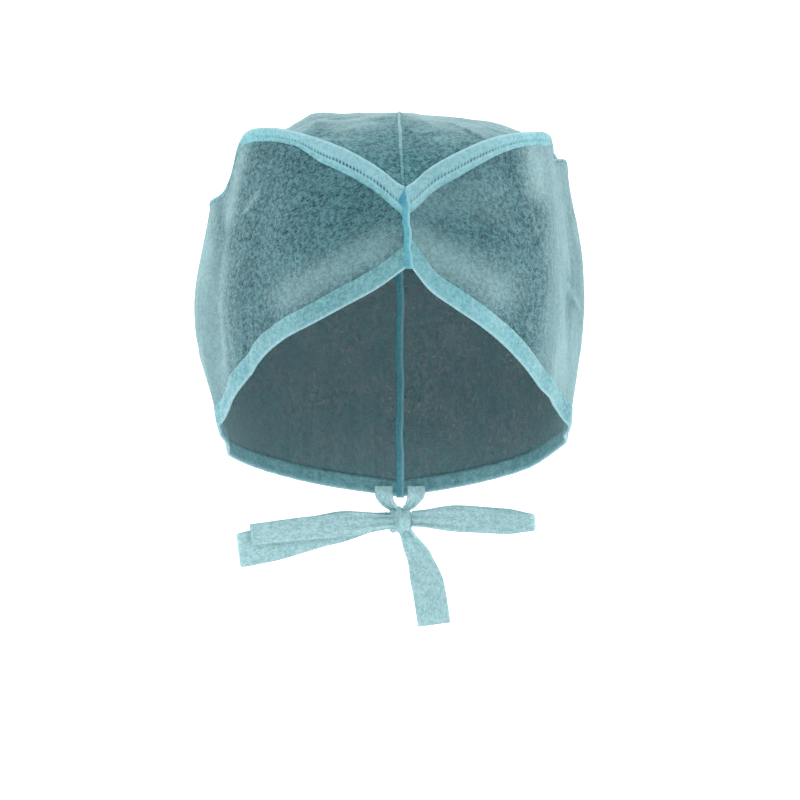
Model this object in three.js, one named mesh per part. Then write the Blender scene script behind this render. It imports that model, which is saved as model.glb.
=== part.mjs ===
// Surgical cap of non-woven cloth, in the form that it has when worn and tied.
//
// Two side panels stand up round the head like a cuff. A crown of two halves rises from inside
// their upper edge, each edge has a doubled binding, and a bow closes the cap at the nape.
//
// Millimetres, +Z up, +Y towards the back of the head, +X towards the viewer's right.
// The origin is where the top of the head bears on the inside of the crown.

import * as THREE from 'three';

const CLOTH = 1.2; // wall of the panels and the crown
const BINDING = { width: 10, thick: 1.8 };
const GAP = 0.3; // clear space between neighbouring pieces
const TUCK = { low: 9.5, high: 5 }; // how far below the ridge the crown's edge lies inside it
const BELLY_POWER = 1.4; // how sharply the panels belly out at half their height
const DRAW_IN_POWER = 0.4; // how soon the crown draws in above the binding, less is sooner
const PANEL_ROWS = 8;
const CROWN_ROWS = 10;

const FRONT_SEAM = { lowX: 4.6, lowY: -101, lowZ: -89, highX: 2.6, highY: -88, highZ: -46.5 };
const BACK_SEAM = { lowX: 0, lowY: 92, lowZ: -213, highX: 0, highY: 118, highZ: -61 };
const SEAM = { width: 4.4, proud: 0.5 }; // the front and back strips
const CROWN_SEAM = { width: 1.2, below: 0.6, above: 1.6 };

// Each row is an upright line on a side panel: where it meets the lower edge and the upper edge,
// how far the cloth bellies out between them, and the steps from it to the next row.
const PANEL_COLUMNS = ['lowX', 'lowY', 'lowZ', 'highX', 'highY', 'highZ', 'belly', 'steps'];
const PANEL_LINES = {
  left: [
    ['front', ...seamLine(FRONT_SEAM, -1), 2, 2],
    ['brow_inner', -11, -100, -99, -11, -86, -36.5, 3, 3],
    ['brow_outer', -30.5, -93, -109.5, -29, -82, -26, 4, 3],
    ['temple_front', -47, -82, -118, -43, -74, -20, 4, 3],
    ['temple', -59.5, -70, -124, -57, -63, -15, 4, 3],
    ['temple_back', -71, -55, -132.5, -70.5, -48, -12, 4, 4],
    ['corner', -80.5, -40, -144, -81, -31, -12.5, 5, 4],
    ['side_fold', -95, -8, -165, -95, -2, -40.5, 7, 4],
    ['side_lobe', -99.5, 8, -174, -104.5, 21, -47.5, 11, 3],
    ['behind_ear', -97.5, 32, -186, -103, 50, -50, 11, 3],
    ['hollow', -92, 50, -191, -92, 75, -53, 11, 6],
    ['nape_outer', -76, 70, -198, -70, 97, -57, 11, 6],
    ['nape_inner', -46, 84, -206, -38, 112, -60, 12, 6],
    ['back', ...seamLine(BACK_SEAM, -1), 12, 0],
  ],
  right: [
    ['front', ...seamLine(FRONT_SEAM, 1), 2, 2],
    ['brow_inner', 15.5, -100, -100.5, 15.5, -86, -36.5, 3, 3],
    ['brow_outer', 28.5, -94, -109.5, 29, -82, -28.5, 4, 3],
    ['temple_front', 43, -84, -119, 45.5, -73, -20.5, 4, 3],
    ['temple', 55, -70, -128.5, 58, -62, -16.5, 4, 3],
    ['temple_back', 66, -55, -139.5, 69, -50, -14.5, 4, 4],
    ['corner', 75.5, -37, -151, 79, -34, -14, 5, 4],
    ['side_fold', 85, -12, -162, 84.5, -10, -24.5, 7, 4],
    ['side_lobe', 93, 8, -173.5, 91, 13, -24, 10, 3],
    ['behind_ear', 94, 30, -179.5, 93.5, 44, -31, 8.5, 3],
    ['hollow', 88, 50, -186, 85, 72, -41, 11, 6],
    ['nape_outer', 74, 70, -196, 67, 96, -51, 11, 6],
    ['nape_inner', 45, 84, -205, 38, 111, -58, 12, 6],
    ['back', ...seamLine(BACK_SEAM, 1), 12, 0],
  ],
};

// The crown's middle line, one row for each row above. To each side, how square its arch is (1 is a
// straight slope, 2 is round and more is boxy) and how far it draws in from the ridge binding.
const CROWN_COLUMNS = ['x', 'y', 'z', 'left', 'leftDrawn', 'right', 'rightDrawn'];
const CROWN_LINE = [
  ['front', 2.6, -84.5, -47, 1.6, 0, 1.6, 0],
  ['brow_inner', 2.6, -83.5, -38, 1.6, 0, 1.6, 0],
  ['brow_outer', 2.6, -79.5, -29, 1.5, 0, 1.5, 0],
  ['temple_front', 2.6, -72, -22, 1.4, 0, 1.3, 0],
  ['temple', 2.4, -62, -15.5, 1.3, 0, 1.2, 0],
  ['temple_back', 2, -48, -9, 1.2, 0, 1.1, 0],
  ['corner', 0.8, -31, -3.5, 1.3, 0, 1.1, 0],
  ['side_fold', -0.5, 0, 0.6, 3.2, 12, 1.9, 0],
  ['side_lobe', -0.6, 21, 0.4, 3.5, 17, 2, 2],
  ['behind_ear', -0.4, 48, -3.5, 3, 15, 2, 3],
  ['hollow', 0, 73, -12, 2.6, 10, 2, 3],
  ['nape_outer', 0, 95, -28, 2.3, 4, 2, 2],
  ['nape_inner', 0, 108, -46, 2, 2, 2, 1],
  ['back', 0, 115, -60, 2, 0, 2, 0],
];
// A crease along the crown's left shoulder: its distance from the middle, width and height.
const SHOULDER_CREASE = { x: -43, width: 10, height: 2.4, fromRow: 6.3, toRow: 9 };
const CROWN_ENDS = { first: 0.15, last: 12.95 }; // the crown's first and last row

// Upright folds in the side panels: where along the rows, how wide, how deep, from what height.
const FOLD_COLUMNS = ['row', 'width', 'depth', 'from', 'to'];
const FOLD_LINES = {
  left: [
    ['fold_before_lobe', 7.1, 0.5, -3.5, 0.1, 1.2],
    ['drape_at_ear', 6.5, 0.35, 2, -0.1, 0.6],
    ['drape_behind_ear', 8.7, 0.4, -3, -0.2, 0.7],
  ],
  right: [
    ['fold_before_lobe', 7.3, 0.5, -3.5, 0.2, 1.2],
    ['drape_at_ear', 6.4, 0.35, 2, -0.1, 0.5],
    ['drape_behind_ear', 8.6, 0.4, -3, -0.2, 0.7],
  ],
};
const GATHERS = { depth: 1.8, fromRow: 10, wavesPerRow: 3 }; // drawn in by the ties at the nape

// The ribbons of the bow. Each row is a point on the ribbon's middle line, with its width there
// and the turn of that width in degrees: 0 stands upright, 90 lies level.
const RIBBON = { thick: 1.2, width: 19 };
const KNOT = { x: 0, y: 98, z: -227, halfX: 8, halfY: 5.5, halfZ: 8 };
const RIBBON_COLUMNS = ['x', 'y', 'z', 'width', 'turn'];
const RIBBON_LINES = {
  tie_left: [
    ['at_binding', -9.5, 91.8, -213.4, 10, 90],
    ['at_knot', -4, 96.3, -219.4, 5, 90],
  ],
  tie_right: [
    ['at_binding', 9.5, 91.8, -213.4, 10, 90],
    ['at_knot', 4, 96.3, -219.4, 5, 90],
  ],
  bow_loop_left: [
    ['from_knot', -8.4, 96, -227, 9, 0],
    ['front_swell', -38, 89, -232, 17, -4],
    ['front_end', -72, 79, -240, RIBBON.width, -7],
    ['tip_front', -89.5, 73, -243.2, RIBBON.width, -8],
    ['tip', -92.5, 74.6, -243.6, RIBBON.width, -8],
    ['tip_back', -90.5, 77.2, -243, RIBBON.width, -8],
    ['back_end', -72, 88, -239, RIBBON.width, -7],
    ['back_swell', -38, 99, -231, 17, -4],
    ['to_knot', -8.4, 99.5, -227, 9, 0],
  ],
  bow_loop_right: [
    ['from_knot', 8.4, 96, -226, 9, 0],
    ['front_swell', 34, 90, -226, 15, 0],
    ['front_end', 60, 82, -227.5, 14, 0],
    ['tip_front', 74.5, 75.5, -227.6, 10, 0],
    ['tip', 77, 77, -227.6, 9, 0],
    ['tip_back', 75.5, 79.5, -227.5, 10, 0],
    ['back_end', 60, 90, -227, 14, 0],
    ['back_swell', 34, 99, -226, 15, 0],
    ['to_knot', 8.4, 99.5, -226, 9, 0],
  ],
  tie_tail_left: [
    ['from_knot', -4.5, 92.2, -228, 8, 0],
    ['swell', -30, 86.2, -229, 14, -2],
    ['middle', -56, 78.6, -231.2, 13, -5],
    ['end', -85.5, 70, -234.3, 12, -6],
  ],
  tie_tail_right: [
    ['from_knot', 3, 102.5, -233.2, 8, 90],
    ['swell', 11, 104.5, -248, 15, 88],
    ['middle', 16, 101, -264, RIBBON.width, 84],
    ['end', 20, 97, -288, RIBBON.width, 82],
  ],
};
const RIBBON_STEP = 9; // length of one step along a ribbon
const RIBBON_BEND_STEPS = 2; // least steps between two points of a ribbon

const AQUA = { cloth: 0x86b4b6, crown: 0x82aeb1, binding: 0x93cbd2, seam: 0x74b5c6, tie: 0xafd2d4 };

/** The ends of a seam's side edge, as the first numbers of a panel's row. */
function seamLine(seam, side) {
  const aside = side * (SEAM.width / 2 + GAP);
  return [seam.lowX + aside, seam.lowY, seam.lowZ, seam.highX + aside, seam.highY, seam.highZ];
}

/** Turns rows of a name and numbers into objects with named values. */
function named(rows, columns) {
  return rows.map(([name, ...values]) =>
    Object.fromEntries([['name', name], ...columns.map((column, k) => [column, values[k]])]));
}

function smoothstep(from, to, value) {
  const share = THREE.MathUtils.clamp((value - from) / (to - from), 0, 1);
  return share * share * (3 - 2 * share);
}

/** A smooth line through the rows' points, read by row number, so 2.5 is halfway from 2 to 3. */
function lineThrough(points) {
  const curve = new THREE.CatmullRomCurve3(points, false, 'centripetal');
  return (row) => curve.getPoint(THREE.MathUtils.clamp(row / (points.length - 1), 0, 1));
}

function valueAt(rows, column, row) {
  const first = Math.min(Math.floor(row), rows.length - 2);
  return THREE.MathUtils.lerp(rows[first][column], rows[first + 1][column],
    smoothstep(0, 1, row - first));
}

/** A closed wall of even thickness about a grid of points, grid[along][across]. */
function wall(grid, thick) {
  const alongs = grid.length;
  const acrosses = grid[0].length;
  const positions = [];
  for (const side of [0.5, -0.5]) {
    for (let i = 0; i < alongs; i++) {
      for (let j = 0; j < acrosses; j++) {
        const offset = gridNormal(grid, i, j).multiplyScalar(side * thick);
        positions.push(...grid[i][j].clone().add(offset).toArray());
      }
    }
  }
  const outer = (i, j) => i * acrosses + j;
  const inner = (i, j) => alongs * acrosses + outer(i, j);
  const triangles = [];
  const quad = (a, b, c, d) => triangles.push(a, b, c, a, c, d);
  for (let i = 0; i + 1 < alongs; i++) {
    for (let j = 0; j + 1 < acrosses; j++) {
      quad(outer(i, j), outer(i + 1, j), outer(i + 1, j + 1), outer(i, j + 1));
      quad(inner(i, j), inner(i, j + 1), inner(i + 1, j + 1), inner(i + 1, j));
    }
  }
  const lastAlong = alongs - 1;
  const lastAcross = acrosses - 1;
  for (let i = 0; i < lastAlong; i++) {
    quad(outer(i, 0), inner(i, 0), inner(i + 1, 0), outer(i + 1, 0));
    quad(outer(i, lastAcross), outer(i + 1, lastAcross), inner(i + 1, lastAcross),
      inner(i, lastAcross));
  }
  for (let j = 0; j < lastAcross; j++) {
    quad(outer(0, j), outer(0, j + 1), inner(0, j + 1), inner(0, j));
    quad(outer(lastAlong, j), inner(lastAlong, j), inner(lastAlong, j + 1),
      outer(lastAlong, j + 1));
  }
  return outwardGeometry(positions, triangles);
}

/** The unit normal of a grid at one of its points. */
function gridNormal(grid, i, j) {
  const along = grid[Math.min(i + 1, grid.length - 1)][j].clone().sub(grid[Math.max(i - 1, 0)][j]);
  const line = grid[i];
  const across = line[Math.min(j + 1, line.length - 1)].clone().sub(line[Math.max(j - 1, 0)]);
  return along.cross(across).normalize();
}

/** A geometry whose faces point out, whichever way round its triangles were listed. */
function outwardGeometry(positions, triangles) {
  const corner = (k) => new THREE.Vector3().fromArray(positions, 3 * triangles[k]);
  let volume = 0;
  for (let k = 0; k < triangles.length; k += 3) {
    volume += corner(k).dot(corner(k + 1).cross(corner(k + 2)));
  }
  const listed = volume < 0 ? triangles.slice().reverse() : triangles;
  const geometry = new THREE.BufferGeometry();
  geometry.setAttribute('position', new THREE.Float32BufferAttribute(positions, 3));
  geometry.setIndex(listed);
  geometry.computeVertexNormals();
  return geometry;
}

/** One side of the cap: its row lines, and points on the panel's middle surface. */
class CapSide {
  constructor(name) {
    this.name = name;
    this.sign = name === 'left' ? -1 : 1;
    this.rows = named(PANEL_LINES[name], PANEL_COLUMNS);
    this.folds = named(FOLD_LINES[name], FOLD_COLUMNS);
    this.low = lineThrough(this.rows.map((r) => new THREE.Vector3(r.lowX, r.lowY, r.lowZ)));
    this.high = lineThrough(this.rows.map((r) => new THREE.Vector3(r.highX, r.highY, r.highZ)));
    this.stops = this.rows.flatMap((r, k) =>
      Array.from({ length: r.steps }, (_, step) => k + step / r.steps));
    this.stops.push(this.rows.length - 1);
  }

  /** The level direction that points out of the cap at a row. */
  outward(row) {
    const step = 0.02;
    const ahead = this.low(row + step).sub(this.low(row - step));
    return new THREE.Vector3(-ahead.y, ahead.x, 0).multiplyScalar(-this.sign).normalize();
  }

  /** How far folds and gathers move the cloth out at a row and a height share. */
  relief(row, share) {
    let out = 0;
    for (const fold of this.folds) {
      const near = Math.exp(-(((row - fold.row) / fold.width) ** 2));
      const tall = smoothstep(fold.from - 0.1, fold.from + 0.25, share)
        * (1 - smoothstep(fold.to - 0.25, fold.to, share));
      out += fold.depth * near * tall;
    }
    const drawn = smoothstep(GATHERS.fromRow - 1, GATHERS.fromRow + 1.5, row)
      * (1 - smoothstep(12.7, 13, row)) * (1 - share) ** 1.5;
    return out + GATHERS.depth * drawn * Math.cos(2 * Math.PI * GATHERS.wavesPerRow * row);
  }

  /** A point of the panel's middle surface, share 0 on the lower edge and 1 on the upper edge. */
  point(row, share) {
    const swell = valueAt(this.rows, 'belly', row) * Math.sin(Math.PI * share) ** BELLY_POWER;
    return this.low(row).lerp(this.high(row), share)
      .addScaledVector(this.outward(row), swell + this.relief(row, share));
  }

  /** The share of a row's height that a width square to an edge takes. */
  shareOf(width, row, edge) {
    const step = 0.05;
    const upright = this.high(row).sub(this.low(row));
    const ahead = edge(row + step).sub(edge(row - step)).normalize();
    return width / ahead.cross(upright).length();
  }

  /** Rows of points from one share to another, each given as a function of the row. */
  grid(fromShare, toShare, cells, stops = this.stops) {
    return stops.map((row) => Array.from({ length: cells + 1 }, (_, k) =>
      this.point(row, THREE.MathUtils.lerp(fromShare(row), toShare(row), k / cells))));
  }
}

function sidePanel(side) {
  const clear = BINDING.width + GAP;
  return wall(side.grid((row) => side.shareOf(clear, row, side.low),
    (row) => 1 - side.shareOf(clear, row, side.high), PANEL_ROWS), CLOTH);
}

function hemBinding(side) {
  return wall(side.grid(() => 0, (row) => side.shareOf(BINDING.width, row, side.low), 1),
    BINDING.thick);
}

function ridgeBinding(side) {
  return wall(side.grid((row) => 1 - side.shareOf(BINDING.width, row, side.high), () => 1, 1),
    BINDING.thick);
}

const crownRows = named(CROWN_LINE, CROWN_COLUMNS);
const crownLine = lineThrough(crownRows.map((r) => new THREE.Vector3(r.x, r.y, r.z)));

/** The height that the shoulder crease adds to the crown at a distance from its middle. */
function shoulderRise(x, row) {
  const { width, height, fromRow, toRow } = SHOULDER_CREASE;
  const along = smoothstep(fromRow, fromRow + 0.7, row) * (1 - smoothstep(toRow - 1.5, toRow, row));
  return height * along * Math.exp(-(((x - SHOULDER_CREASE.x) / width) ** 2));
}

function crownStops(side) {
  return [CROWN_ENDS.first, ...side.stops.slice(1, -1), CROWN_ENDS.last];
}

/** Half of the crown: a tuck inside the ridge binding, then an arch to the crown's middle. */
function crownHalf(side) {
  const inset = BINDING.thick / 2 + GAP + CLOTH / 2;
  const clearOfSeam = side.sign * (CROWN_SEAM.width / 2 + 2 * GAP); // the halves meet it at a slant
  const tuckShare = (below) => (row) => 1 - side.shareOf(below, row, side.high);
  const stops = crownStops(side);
  const tucked = side.grid(tuckShare(TUCK.low), tuckShare(TUCK.high), 1, stops);
  const grid = stops.map((row, i) => {
    const line = tucked[i].map((point) => point.addScaledVector(side.outward(row), -inset));
    const foot = line[1];
    const top = crownLine(row).add(new THREE.Vector3(clearOfSeam, 0, 0));
    const power = 2 / valueAt(crownRows, side.name, row);
    const drawn = side.sign * valueAt(crownRows, `${side.name}Drawn`, row);
    for (let k = 1; k <= CROWN_ROWS; k++) {
      const turn = (Math.PI / 2) * (k / CROWN_ROWS);
      const reach = foot.x - top.x - drawn * Math.sin(turn) ** DRAW_IN_POWER;
      const point = new THREE.Vector3(
        top.x + reach * Math.max(Math.cos(turn), 0) ** power,
        THREE.MathUtils.lerp(foot.y, top.y, k / CROWN_ROWS),
        THREE.MathUtils.lerp(foot.z, top.z, Math.sin(turn) ** power),
      );
      point.z += shoulderRise(point.x, row);
      line.push(point);
    }
    return line;
  });
  return wall(grid, CLOTH);
}

function crownSeam(side) {
  const grid = crownStops(side).map((row) => {
    const step = 0.05;
    const ahead = crownLine(row + step).sub(crownLine(row - step)).normalize();
    const up = new THREE.Vector3(0, -ahead.z, ahead.y);
    return [-CROWN_SEAM.below, CROWN_SEAM.above].map((height) =>
      crownLine(row).addScaledVector(up, height));
  });
  return wall(grid, CROWN_SEAM.width);
}

/** The strip between the ends of the two side panels. */
function seamStrip(row, left, right, cells) {
  const grid = Array.from({ length: cells + 1 }, (_, k) => {
    const ends = [left.point(row, k / cells), right.point(row, k / cells)];
    const across = ends[1].clone().sub(ends[0]).normalize();
    return [ends[0].addScaledVector(across, GAP), ends[1].addScaledVector(across, -GAP)];
  });
  return wall(grid, BINDING.thick + 2 * SEAM.proud);
}

function ribbon(rows) {
  const path = lineThrough(rows.map((r) => new THREE.Vector3(r.x, r.y, r.z)));
  const stops = [];
  for (let k = 0; k + 1 < rows.length; k++) {
    const steps = Math.max(RIBBON_BEND_STEPS,
      Math.round(path(k).distanceTo(path(k + 1)) / RIBBON_STEP));
    for (let step = 0; step < steps; step++) {
      stops.push(k + step / steps);
    }
  }
  stops.push(rows.length - 1);
  const grid = stops.map((row) => {
    const half = valueAt(rows, 'width', row) / 2;
    const turn = THREE.MathUtils.degToRad(valueAt(rows, 'turn', row));
    const edge = new THREE.Vector3(half * Math.sin(turn), 0, half * Math.cos(turn));
    return [path(row).sub(edge), path(row).add(edge)];
  });
  return wall(grid, RIBBON.thick);
}

function knot() {
  const ball = new THREE.SphereGeometry(1, 14, 10);
  ball.scale(KNOT.halfX, KNOT.halfY, KNOT.halfZ);
  ball.translate(KNOT.x, KNOT.y, KNOT.z);
  return ball;
}

const cap = new THREE.Group();

function addPiece(name, geometry, color, roughness = 0.85) {
  const material = new THREE.MeshStandardMaterial({ color, roughness, metalness: 0 });
  const mesh = new THREE.Mesh(geometry, material);
  mesh.name = name;
  cap.add(mesh);
}

const left = new CapSide('left');
const right = new CapSide('right');
for (const side of [left, right]) {
  addPiece(`side_panel_${side.name}`, sidePanel(side), AQUA.cloth);
  addPiece(`hem_binding_${side.name}`, hemBinding(side), AQUA.binding);
  addPiece(`ridge_binding_${side.name}`, ridgeBinding(side), AQUA.binding);
  addPiece(`crown_${side.name}`, crownHalf(side), AQUA.crown);
}
addPiece('crown_seam', crownSeam(left), AQUA.binding);
addPiece('front_seam', seamStrip(0, left, right, 6), AQUA.seam);
addPiece('back_seam', seamStrip(13, left, right, 12), AQUA.seam);
addPiece('tie_knot', knot(), AQUA.tie);
for (const [name, lines] of Object.entries(RIBBON_LINES)) {
  addPiece(name, ribbon(named(lines, RIBBON_COLUMNS)), AQUA.tie);
}

export default cap;
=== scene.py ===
"""Looks of a tied surgical cap of non-woven cloth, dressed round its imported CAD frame.

Sizes are millimetres in the cap's own frame: +X to the viewer's right, +Y to the back of the head
and +Z up, with the origin where the top of the head bears. Meshes are written in metres.
"""

import itertools
import logging
import math
from dataclasses import dataclass, field
from enum import Enum

import bpy
import numpy as np
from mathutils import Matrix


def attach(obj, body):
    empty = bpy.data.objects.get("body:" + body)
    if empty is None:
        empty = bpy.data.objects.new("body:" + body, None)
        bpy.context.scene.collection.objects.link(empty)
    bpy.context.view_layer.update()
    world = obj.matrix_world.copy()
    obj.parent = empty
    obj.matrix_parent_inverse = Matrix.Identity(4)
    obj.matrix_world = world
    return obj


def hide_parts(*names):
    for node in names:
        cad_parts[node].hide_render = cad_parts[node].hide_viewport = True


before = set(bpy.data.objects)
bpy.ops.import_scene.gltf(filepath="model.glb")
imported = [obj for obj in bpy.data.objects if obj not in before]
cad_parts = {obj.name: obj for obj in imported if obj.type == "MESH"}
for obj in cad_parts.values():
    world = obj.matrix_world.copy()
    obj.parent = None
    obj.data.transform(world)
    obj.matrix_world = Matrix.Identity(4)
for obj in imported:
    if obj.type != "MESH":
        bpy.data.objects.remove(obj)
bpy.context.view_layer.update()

LOG = logging.getLogger("surgical_cap")
MM = 0.001  # metres in a millimetre
UV_NAME = "cloth"  # flat map of each piece, in metres of cloth
Array = np.ndarray
Point = tuple[float, float, float]
Color = tuple[float, float, float, float]


class Side(Enum):
    """The two halves of the cap, as the viewer sees them."""

    LEFT = "left"
    RIGHT = "right"

    @property
    def sign(self) -> int:
        """-1 on the viewer's left and 1 on the right."""
        return -1 if self is Side.LEFT else 1


class Slot(Enum):
    """Material slots: cloth, binding, seam and tie."""

    CLOTH = "cloth"
    BINDING = "binding"
    SEAM = "seam"
    TIE = "tie"


class Held(Enum):
    """How a sheet of cloth is held."""

    GATHERED = "gathered"
    FOLDED = "folded"


# ---------------------------------------------------------------- lines, noise and grids


def smoothstep(start: float, stop: float, value: Array) -> Array:
    """Rises smoothly from 0 at start to 1 at stop, as 3t^2 - 2t^3.

    Args:
        start: Value at which the rise starts.
        stop: Value at which it ends.
        value: Where to read it.

    Returns:
        The height of the rise at each value.
    """
    share = np.clip((value - start) / (stop - start), 0.0, 1.0)
    return share * share * (3 - 2 * share)


def bump(distance: Array, width: float) -> Array:
    """A bell that is 1 at distance 0 and falls as exp(-(distance / width)^2)."""
    return np.exp(-((distance / width) ** 2))


def value_at(values: list[float], rows: Array) -> Array:
    """Reads a table's column at row numbers, with a smoothstep between two rows.

    Args:
        values: One number for each row.
        rows: Row numbers, where 2.5 is halfway from row 2 to row 3.

    Returns:
        The column's value at each row number.
    """
    column = np.asarray(values, float)
    first = np.clip(np.floor(rows).astype(int), 0, len(column) - 2)
    share = smoothstep(0.0, 1.0, rows - first)
    return column[first] * (1 - share) + column[first + 1] * share


def unit(vectors: Array) -> Array:
    """Vectors of length 1 in the same directions."""
    return vectors / np.maximum(np.linalg.norm(vectors, axis=-1, keepdims=True), 1e-9)


def boxy(wave: Array, power: float) -> Array:
    """A sine or cosine made boxier: its sign times its size to a power below 1."""
    return np.sign(wave) * np.abs(wave) ** power


def sideways(lengths: Array) -> Array:
    """Vectors along X of these lengths."""
    return np.stack([lengths, 0 * lengths, 0 * lengths], axis=-1)


class SmoothLine:
    """A centripetal Catmull-Rom line through points, read by row number."""

    def __init__(self, points: list[Point]) -> None:
        """Keeps the points, with one more past each end in line with the last two."""
        inner = np.asarray(points, float)
        self.last = len(inner) - 1
        self.points = np.vstack([2 * inner[:1] - inner[1:2], inner, 2 * inner[-1:] - inner[-2:-1]])

    def at(self, rows: Array) -> Array:
        """Points of the line: a cubic between two rows whose ends lean on their neighbours.

        Args:
            rows: Row numbers of any shape.

        Returns:
            The points, with one more axis for x, y and z.
        """
        rows = np.clip(np.asarray(rows, float), 0, self.last)
        first = np.minimum(rows.astype(int), self.last - 1)
        share = (rows - first)[..., None]
        p0, p1, p2, p3 = (self.points[first + k] for k in range(4))
        d0, d1, d2 = (np.maximum(np.linalg.norm(b - a, axis=-1, keepdims=True), 1e-6) ** 0.5
                      for a, b in ((p0, p1), (p1, p2), (p2, p3)))
        lean1 = d1 * ((p1 - p0) / d0 - (p2 - p0) / (d0 + d1) + (p2 - p1) / d1)
        lean2 = d1 * ((p2 - p1) / d1 - (p3 - p1) / (d1 + d2) + (p3 - p2) / d2)
        square = -3 * p1 + 3 * p2 - 2 * lean1 - lean2
        cube = 2 * p1 - 2 * p2 + lean1 + lean2
        return p1 + share * (lean1 + share * (square + share * cube))

    def ahead(self, rows: Array, step: float = 0.05) -> Array:
        """Unit directions along the line."""
        return unit(self.at(np.asarray(rows) + step) - self.at(np.asarray(rows) - step))

    def even_rows(self, step: float, first: float = 0.0, last: float | None = None) -> Array:
        """Row numbers that lie about one step of length apart.

        Args:
            step: Length from one to the next.
            first: Row to start from.
            last: Row to end on, or the line's last row.

        Returns:
            The row numbers, both ends among them.
        """
        dense = np.linspace(first, self.last if last is None else last, 3000)
        pieces = np.linalg.norm(np.diff(self.at(dense), axis=0), axis=1)
        length = np.concatenate([[0.0], np.cumsum(pieces)])
        count = max(2, round(length[-1] / step))
        return np.interp(np.linspace(0, length[-1], count + 1), length, dense)


class SoftNoise:
    """Smooth seeded noise in space: random values on a lattice, blended by smoothsteps."""

    SIZE = 40  # lattice cells before the noise repeats

    def __init__(self, seed: int) -> None:
        """Draws the lattice's values between -1 and 1 from this seed."""
        self.values = np.random.default_rng(seed).uniform(-1, 1, (self.SIZE,) * 3)

    def at(self, points: Array, length: float) -> Array:
        """The noise at points, for a lattice whose cells have this length.

        Args:
            points: Points, x, y and z on the last axis.
            length: Side of a lattice cell.

        Returns:
            Values between -1 and 1.
        """
        place = points / length
        cell = np.floor(place).astype(int)
        part = place - cell
        part = part * part * (3 - 2 * part)
        total = np.zeros(points.shape[:-1])
        for corner in itertools.product((0, 1), repeat=3):
            weight = np.prod(np.where(np.array(corner) == 1, part, 1 - part), axis=-1)
            index = (cell + np.array(corner)) % self.SIZE
            total += weight * self.values[index[..., 0], index[..., 1], index[..., 2]]
        return total


@dataclass(frozen=True)
class Form:
    """A mesh before it is made: vertices in millimetres, faces, flat map and masks."""

    vertices: Array
    faces: tuple[Array, ...]
    flat_map: Array
    masks: dict[str, Array] = field(default_factory=dict)


def grid_normals(grid: Array, ring: bool = False) -> Array:
    """Unit normals of a grid, the cross product of its two directions.

    Args:
        grid: Points as (along, across, 3).
        ring: Whether the last line across meets the first.

    Returns:
        Normals of the grid's shape.
    """
    along = np.gradient(grid, axis=0)
    if ring:
        across = np.roll(grid, -1, axis=1) - np.roll(grid, 1, axis=1)
    else:
        across = np.gradient(grid, axis=1)
    return unit(np.cross(along, across))


def grid_quads(alongs: int, acrosses: int, ring: bool, start: int = 0) -> Array:
    """Quads of a grid whose vertices are numbered line by line.

    Args:
        alongs: Lines along.
        acrosses: Points on each line.
        ring: Whether the last point of a line joins the first.
        start: Number of the grid's first vertex.

    Returns:
        Vertex numbers, four to a face.
    """
    i, j = np.meshgrid(np.arange(alongs - 1), np.arange(acrosses if ring else acrosses - 1),
                       indexing="ij")
    after = (j + 1) % acrosses
    corners = [i * acrosses + j, (i + 1) * acrosses + j, (i + 1) * acrosses + after,
               i * acrosses + after]
    return start + np.stack(corners, axis=-1).reshape(-1, 4)


def flat_map_of(grid: Array) -> Array:
    """Flat place of each grid point: length along the middle line, length across its own line.

    Args:
        grid: Points as (along, across, 3).

    Returns:
        Flat places as (along, across, 2), in millimetres.
    """
    middle = grid[:, grid.shape[1] // 2]
    along = np.concatenate([[0.0], np.cumsum(np.linalg.norm(np.diff(middle, axis=0), axis=1))])
    steps = np.linalg.norm(np.diff(grid, axis=1), axis=2)
    across = np.concatenate([np.zeros((len(grid), 1)), np.cumsum(steps, axis=1)], axis=1)
    return np.stack([np.broadcast_to(along[:, None], across.shape), across], axis=-1)


def shell(grid: Array, thick: float, ring: bool = False, masks: dict[str, Array] | None = None) -> Form:
    """A closed wall about a grid: the grid moved out and in by half its thickness, and rims.

    Args:
        grid: Points as (along, across, 3).
        thick: Thickness of the wall.
        ring: Whether the grid closes on itself across, as a tube does.
        masks: Values of the grid's shape, kept on both faces.

    Returns:
        The wall's form.
    """
    alongs, acrosses = grid.shape[:2]
    offset = grid_normals(grid, ring) * thick / 2
    count = alongs * acrosses
    outer = grid_quads(alongs, acrosses, ring)
    inner = grid_quads(alongs, acrosses, ring, count)[:, ::-1]
    rims = []
    lines = [np.arange(acrosses), (alongs - 1) * acrosses + np.arange(acrosses)]
    edges = [np.arange(alongs) * acrosses, np.arange(alongs) * acrosses + acrosses - 1]
    for line, turned, closed in ((lines[0], False, ring), (lines[1], True, ring),
                                 *(() if ring else ((edges[0], True, False), (edges[1], False, False)))):
        after = np.roll(line, -1) if closed else line[1:]
        here = line if closed else line[:-1]
        rim = np.stack([here, after, after + count, here + count], axis=-1)
        rims.append(rim[:, ::-1] if turned else rim)
    flat = flat_map_of(grid).reshape(-1, 2)
    values = {name: np.tile(mask.ravel(), 2) for name, mask in (masks or {}).items()}
    vertices = np.concatenate([(grid + offset).reshape(-1, 3), (grid - offset).reshape(-1, 3)])
    return Form(vertices, (np.concatenate([outer, inner, *rims]),), np.tile(flat, (2, 1)), values)


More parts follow.
